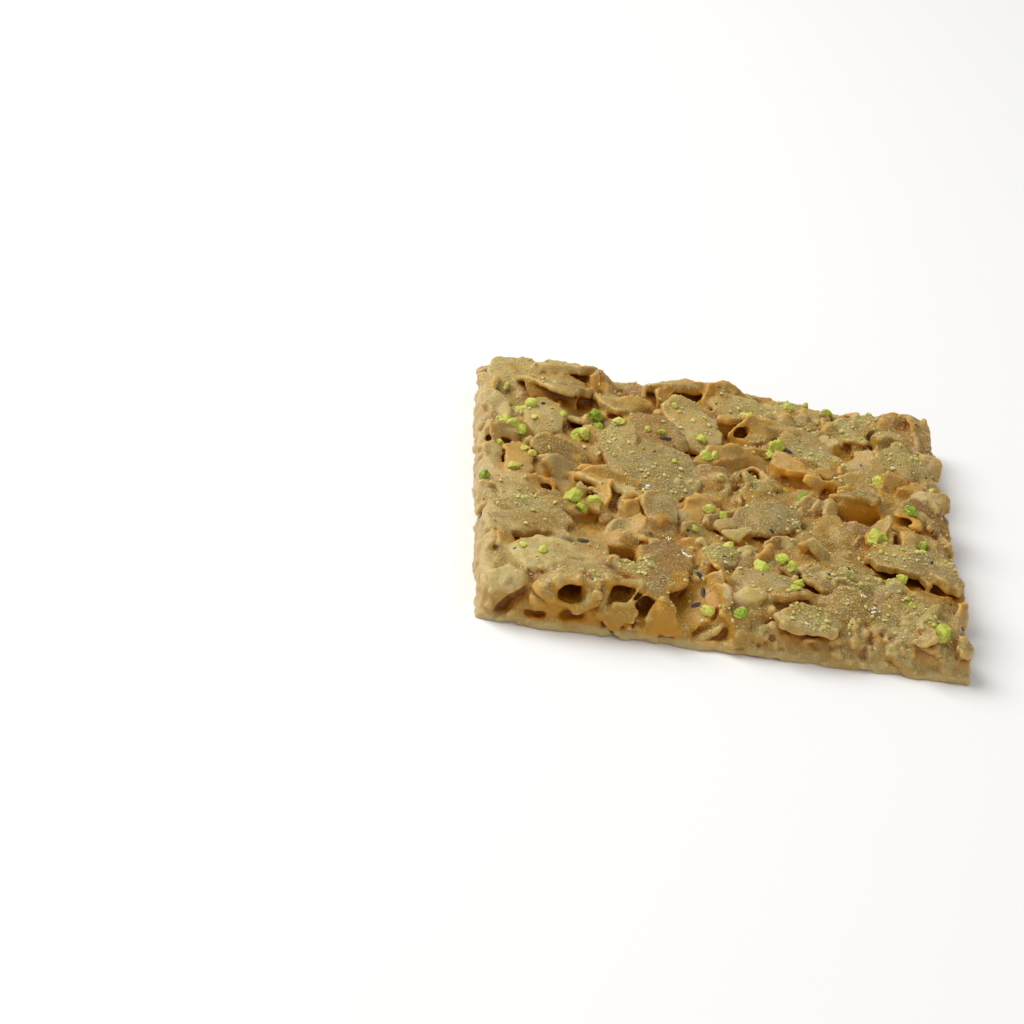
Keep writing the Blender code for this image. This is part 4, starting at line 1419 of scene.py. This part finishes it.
# %% Material of what is strewn
def strewn_material(name, colours, roughness, subsurface, size_mm):
    """A bit's colour goes from the last to the first of colours by its tone, with a fine mottle."""
    made, tree, shader = new_material(name)
    found = sources(tree, ("tone",), {"mottle": (size_mm, 3.0)})
    mottle = share(tree, found, [("mottle", 0.3, 0.7, -0.25, 0.25)])
    found["depth"] = add(tree, "ShaderNodeMath", {"operation": "ADD"}, {0: found["tone"], 1: mottle})
    dark, middle, light = colours
    bumps = {"Strength": 0.5, "Distance": 0.1 * MM, "Height": found["mottle"]}
    wire(tree, shader, {
        "Base Color": paint(tree, found, light, [(middle, ("depth", 0.0, 0.5)), (dark, ("depth", 0.5, 1.0))]),
        "Roughness": roughness,
        "Subsurface Weight": subsurface,
        "Subsurface Radius": (0.7, 1.0, 0.3),
        "Subsurface Scale": 0.5 * MM,
        "Normal": add(tree, "ShaderNodeBump", {}, bumps),
    })
    return made


# %% Pistachio nibs
# x, y, width and how green each large nib is: 0 yellow, 1 deep green.
NIBS = (
    (-30.6, 21.9, 2.9, 0.3), (-29.6, 20.6, 1.6, 0.2), (-34.0, 13.8, 2.2, 0.4), (-32.8, 12.6, 2.0, 0.3),
    (-31.4, 12.2, 1.8, 0.5), (-30.6, 11.6, 1.3, 0.3), (-21.7, 15.4, 2.8, 0.4), (-20.9, 13.8, 2.0, 0.3),
    (-19.4, 19.6, 2.6, 0.8), (-18.4, 18.4, 2.2, 0.7), (-15.6, 15.8, 1.9, 0.1), (-5.5, 30.9, 2.0, 0.3),
    (-1.9, 16.4, 2.1, 0.3), (6.0, 28.2, 2.2, 0.1), (8.6, 26.9, 1.5, 0.2), (10.3, 17.5, 2.4, 0.4),
    (9.4, 16.0, 1.4, 0.4), (14.9, 25.6, 2.0, 0.9), (13.3, 32.6, 1.9, 0.2), (-1.6, 9.2, 2.0, 0.3),
    (-0.4, 9.8, 1.6, 0.2), (26.7, 10.2, 2.9, 0.3), (-23.6, -10.2, 3.0, 0.4), (-22.2, -11.2, 2.2, 0.5),
    (-19.9, -7.9, 2.8, 0.3), (13.9, 3.8, 2.0, 1.0), (-2.1, -6.8, 1.7, 0.2), (0.4, -7.6, 1.9, 0.3),
    (1.0, -15.6, 2.6, 0.2), (24.1, -9.2, 3.0, 0.3), (25.6, -8.4, 2.0, 0.4), (30.9, 0.6, 2.5, 0.8),
    (32.5, -6.9, 1.8, 0.7), (5.1, -24.1, 2.8, 0.4), (8.8, -21.5, 2.0, 0.4), (10.0, -22.6, 1.8, 0.3),
    (11.0, -26.9, 1.9, 0.4), (10.1, -30.5, 1.4, 0.3), (26.2, -21.8, 2.4, 0.3), (27.2, -23.0, 1.8, 0.4),
    (21.6, -26.2, 1.8, 0.4), (33.0, -34.4, 3.0, 0.4), (-3.0, -33.6, 2.0, 0.2), (-28.7, -28.2, 1.6, 0.3),
    (-28.2, 10.3, 1.5, 0.5), (-32.6, -0.8, 1.7, 0.3), (-29.8, 3.4, 1.5, 0.3), (-37.2, -4.2, 2.0, 0.9),
    (-4.5, -12.7, 1.3, 0.3), (-8.8, 15.4, 1.4, 0.4), (20.2, 34.6, 1.6, 0.6), (16.4, 36.2, 1.7, 0.3),
    (1.8, -35.8, 1.9, 0.8),
)
SMALL_NIBS = 44
draw = np.random.default_rng(41)
rows = list(NIBS)
for x, y in draw.uniform(-37, 37, (SMALL_NIBS, 2)):
    rows.append((x, y, 0.5 + 0.9 * draw.random() ** 2, draw.uniform(0.0, 0.6)))
# Fresh pistachio is waxy and lets a little light in; its colour runs from yellow to deep green.
pistachio = strewn_material("chopped_pistachio", ("#78961f", "#b4bc38", "#cfc964"), 0.6, 0.25, 0.5)
strew("pistachio_nibs", rows, 0.16, 42, collect("nib", 8, 60, chopped_nib), pistachio, draw, 0.75)

# %% Nut flour
FLOUR = 24000
PER_HEAP = 500


def patchiness(places, sizes, seeds, second):
    """Slow noise at places in the plan: two sizes, the second with its own weight."""
    on_plan = np.c_[places, np.zeros(len(places))]
    return noise(on_plan, sizes[0], seeds[0]) + second * noise(on_plan, sizes[1], seeds[1])


draw = np.random.default_rng(43)
heaps = draw.uniform(-37.0, 37.0, (4000, 2))
toward_right = (heaps[:, 0] + 38) / 76
chance = 0.15 + 0.55 * patchiness(heaps, (9.0, 3.5), (11, 12), 0.7) + 0.12 * toward_right
heaps = heaps[draw.random(len(heaps)) < np.clip(chance, 0.02, 1.0)]
rows = []
for x, y in heaps:
    spread = draw.uniform(0.15, 0.9)
    grains = int(draw.exponential(22 if spread > 0.4 else 9)) + 1
    for across, along in draw.normal(0, spread, (grains, 2)):
        if max(abs(x + across), abs(y + along)) < 37.6:
            rows.append((x + across, y + along, 0.09 + 0.2 * draw.random() ** 2, draw.uniform(0.0, 0.8)))
for x, y in draw.uniform(-37.5, 37.5, (FLOUR // 4, 2)):
    rows.append((x, y, draw.uniform(0.09, 0.2), draw.uniform(0.0, 0.8)))
for x, y, reach in HEAPS:
    for across, along in draw.normal((x, y), 0.45 * reach, (PER_HEAP, 2)).clip(-37.5, 37.5):
        rows.append((across, along, draw.uniform(0.1, 0.26), draw.uniform(0.0, 0.8)))
print("heaps:", len(heaps), "grains:", len(rows))
draw.shuffle(rows)
# Ground nuts: dry, dull and opaque, as the grains are too small to glow.
flour = strewn_material("ground_nut_flour", ("#b8aa5c", "#cdbf78", "#dccf98"), 0.8, 0.0, 0.3)
strew("nut_flour", rows[:FLOUR], 0.1, 44, collect("grit", 4, 80, grit), flour, draw)

# %% Crumbs
CRUMBS = 2400
CRUMBS_PER_HEAP = 70
spread = draw.uniform(-37.3, 37.3, (5 * CRUMBS, 2))
chance = 0.1 + 0.55 * patchiness(spread, (7.0, 2.4), (11, 14), 0.8)
spread = spread[draw.random(len(spread)) < np.clip(chance, 0.02, 1)]
spread = spread[: CRUMBS - CRUMBS_PER_HEAP * len(HEAPS)]
for x, y, reach in HEAPS:
    heaped = draw.normal((x, y), 0.55 * reach, (CRUMBS_PER_HEAP, 2)).clip(-37.3, 37.3)
    spread = np.concatenate((spread, heaped))
rows = [(x, y, 0.2 + 0.75 * draw.random() ** 5, draw.uniform(0.0, 0.6)) for x, y in spread]
crumb_shapes = collect("crumb", 4, 70, chip, (1.0, 0.8, 0.7), 0.3)
# Crumbs of both nuts: rough, with a trace of the same glow as the nibs.
crumb = strewn_material("almond_and_pistachio_crumb", ("#b4ad4a", "#cac066", "#d8cc8a"), 0.7, 0.2, 0.4)
strew("nut_crumbs", rows, 0.1, 49, crumb_shapes, crumb, draw)

# %% Flecks of skin
SKINS = (
    (-18.9, 4.5, 2.8, 1.0), (-26.8, 4.0, 1.6, 1.0), (-29.3, 31.9, 1.5, 1.0), (-27.7, 21.4, 1.2, 0.9),
    (7.9, -10.7, 1.5, 1.0), (-8.0, 14.2, 2.0, 1.0), (12.2, 17.1, 1.9, 0.8), (-21.9, -20.1, 2.2, 1.0),
    (-4.3, -28.2, 1.6, 1.0), (19.3, -20.6, 1.8, 1.0), (15.9, -22.7, 1.8, 0.8), (35.0, 33.3, 1.3, 1.0),
    (21.4, 15.2, 1.7, 0.9), (32.8, -14.9, 1.2, 1.0), (-3.6, -30.0, 2.0, 1.0), (-4.6, -31.8, 1.6, 1.0),
)
draw = np.random.default_rng(45)
rows = list(SKINS)
for x, y in draw.uniform(-37, 37, (70, 2)):
    rows.append((x, y, draw.uniform(0.3, 0.9), draw.uniform(0.3, 1.0)))
skin_shapes = collect("fleck", 4, 90, chip, (1.0, 0.5, 0.16), 0.25)
# Skin of the nuts: thin and papery, nearly black where it is purple.
skin_paper = strewn_material("brown_nut_skin", ("#2c1d28", "#4c2f2c", "#6e4a34"), 0.55, 0.0, 0.4)
strew("skin_flecks", rows, 0.26, 46, skin_shapes, skin_paper, draw)

# %% Clear drops of sugar, which also stand in as painted glints
GLINTS = (
    (-11.6, -1.8, 0.9), (-15.0, 0.9, 0.7), (-6.1, -23.6, 1.0), (26.4, 24.0, 0.7), (12.1, -6.3, 0.8),
    (4.1, -11.7, 0.7), (-8.5, -15.3, 0.7), (22.8, -29.6, 0.9), (11.9, -37.0, 0.8), (21.0, -28.0, 0.6),
)
draw = np.random.default_rng(47)
rows = [(x, y, draw.uniform(0.12, 0.3), draw.random()) for x, y in draw.uniform(-37, 37, (130, 2))]
for x, y, wide in GLINTS:
    for across, along in draw.normal(0, 0.45 * wide, (7, 2)):
        rows.append((x + across, y + along, wide * draw.uniform(0.2, 0.6), draw.random()))
sugar_shapes = collect("grain", 2, 95, chip, (1, 1, 0.8), 0.15)
# Set sugar: a clear glass that looks white in small grains. The white grains also stand in for glints
# of light on the toffee, as painted highlights.
sugar, tree, shader = new_material("white_sugar_and_painted_glints")
dull = share(tree, sources(tree, (), {"dull": (0.2, 3.0)}), [("dull", 0.3, 0.7, 0.05, 0.25)])
wire(tree, shader, {"Base Color": linear("#f2ead6"), "IOR": 1.54, "Roughness": dull})
strew("sugar_grains", rows, 0.05, 48, sugar_shapes, sugar, draw)

# %% [markdown]
# ## Floor, light and camera
#
# A white card under soft light from the back left, a weak light in front, and a long lens that looks
# down on the slab at 28 degrees.

# %% Floor and light
FLOOR_REACH = 4.0
corners = [(FLOOR_REACH * i, FLOOR_REACH * j, 0) for i, j in ((-1, -1), (1, -1), (1, 1), (-1, 1))]
floor_mesh = bpy.data.meshes.new("floor")
floor_mesh.from_pydata(corners, [], [(0, 1, 2, 3)])
floor = bpy.data.objects.new("floor", floor_mesh)
bpy.context.scene.collection.objects.link(floor)
floor_paint, tree, shader = new_material("matt_white_card")
wire(tree, shader, {"Base Color": linear("#f4f3f1"), "Roughness": 0.9})
floor_mesh.materials.append(floor_paint)


def soft_light(name, place, power, size):
    """A square white light that looks at the slab."""
    data = bpy.data.lights.new(name, "AREA")
    data.energy = power
    data.size = size
    lamp = bpy.data.objects.new(name, data)
    lamp.location = place
    lamp.rotation_euler = (-Vector(place)).to_track_quat("-Z", "Y").to_euler()
    bpy.context.scene.collection.objects.link(lamp)


soft_light("window", (-0.50, 0.20, 0.62), 6.9, 0.6)
soft_light("front_fill", (0.1, -0.6, 0.35), 1.0, 0.6)
print("lights:", len(bpy.data.lights))

world = bpy.data.worlds.new("studio")
bpy.context.scene.world = world
world.use_nodes = True
sky = {"Color": (1, 1, 1, 1), "Strength": 0.38}
wire(world.node_tree, world.node_tree.nodes["Background"], sky)
bpy.context.scene.view_settings.view_transform = "Standard"

# %% Camera
LENS, SENSOR, FAR_CLIP = 156.96, 36.0, 20.0
CAMERA_PLACE = (-92.104, -620.221, 328.415)
AZIMUTH, ELEVATION, ROLL = -5.574, 27.856, 10.344

camera_data = bpy.data.cameras.new("camera")
camera_data.lens = LENS
camera_data.sensor_width = SENSOR
camera_data.clip_end = FAR_CLIP
camera = bpy.data.objects.new("camera", camera_data)
camera.matrix_world = Matrix.Translation(Vector(CAMERA_PLACE) * MM)
for angle, axis in ((AZIMUTH, "Z"), (90 - ELEVATION, "X"), (ROLL, "Z")):
    camera.matrix_world = camera.matrix_world @ Matrix.Rotation(math.radians(angle), 4, axis)
bpy.context.scene.collection.objects.link(camera)
bpy.context.scene.camera = camera
print("camera looks down at", ELEVATION, "degrees")
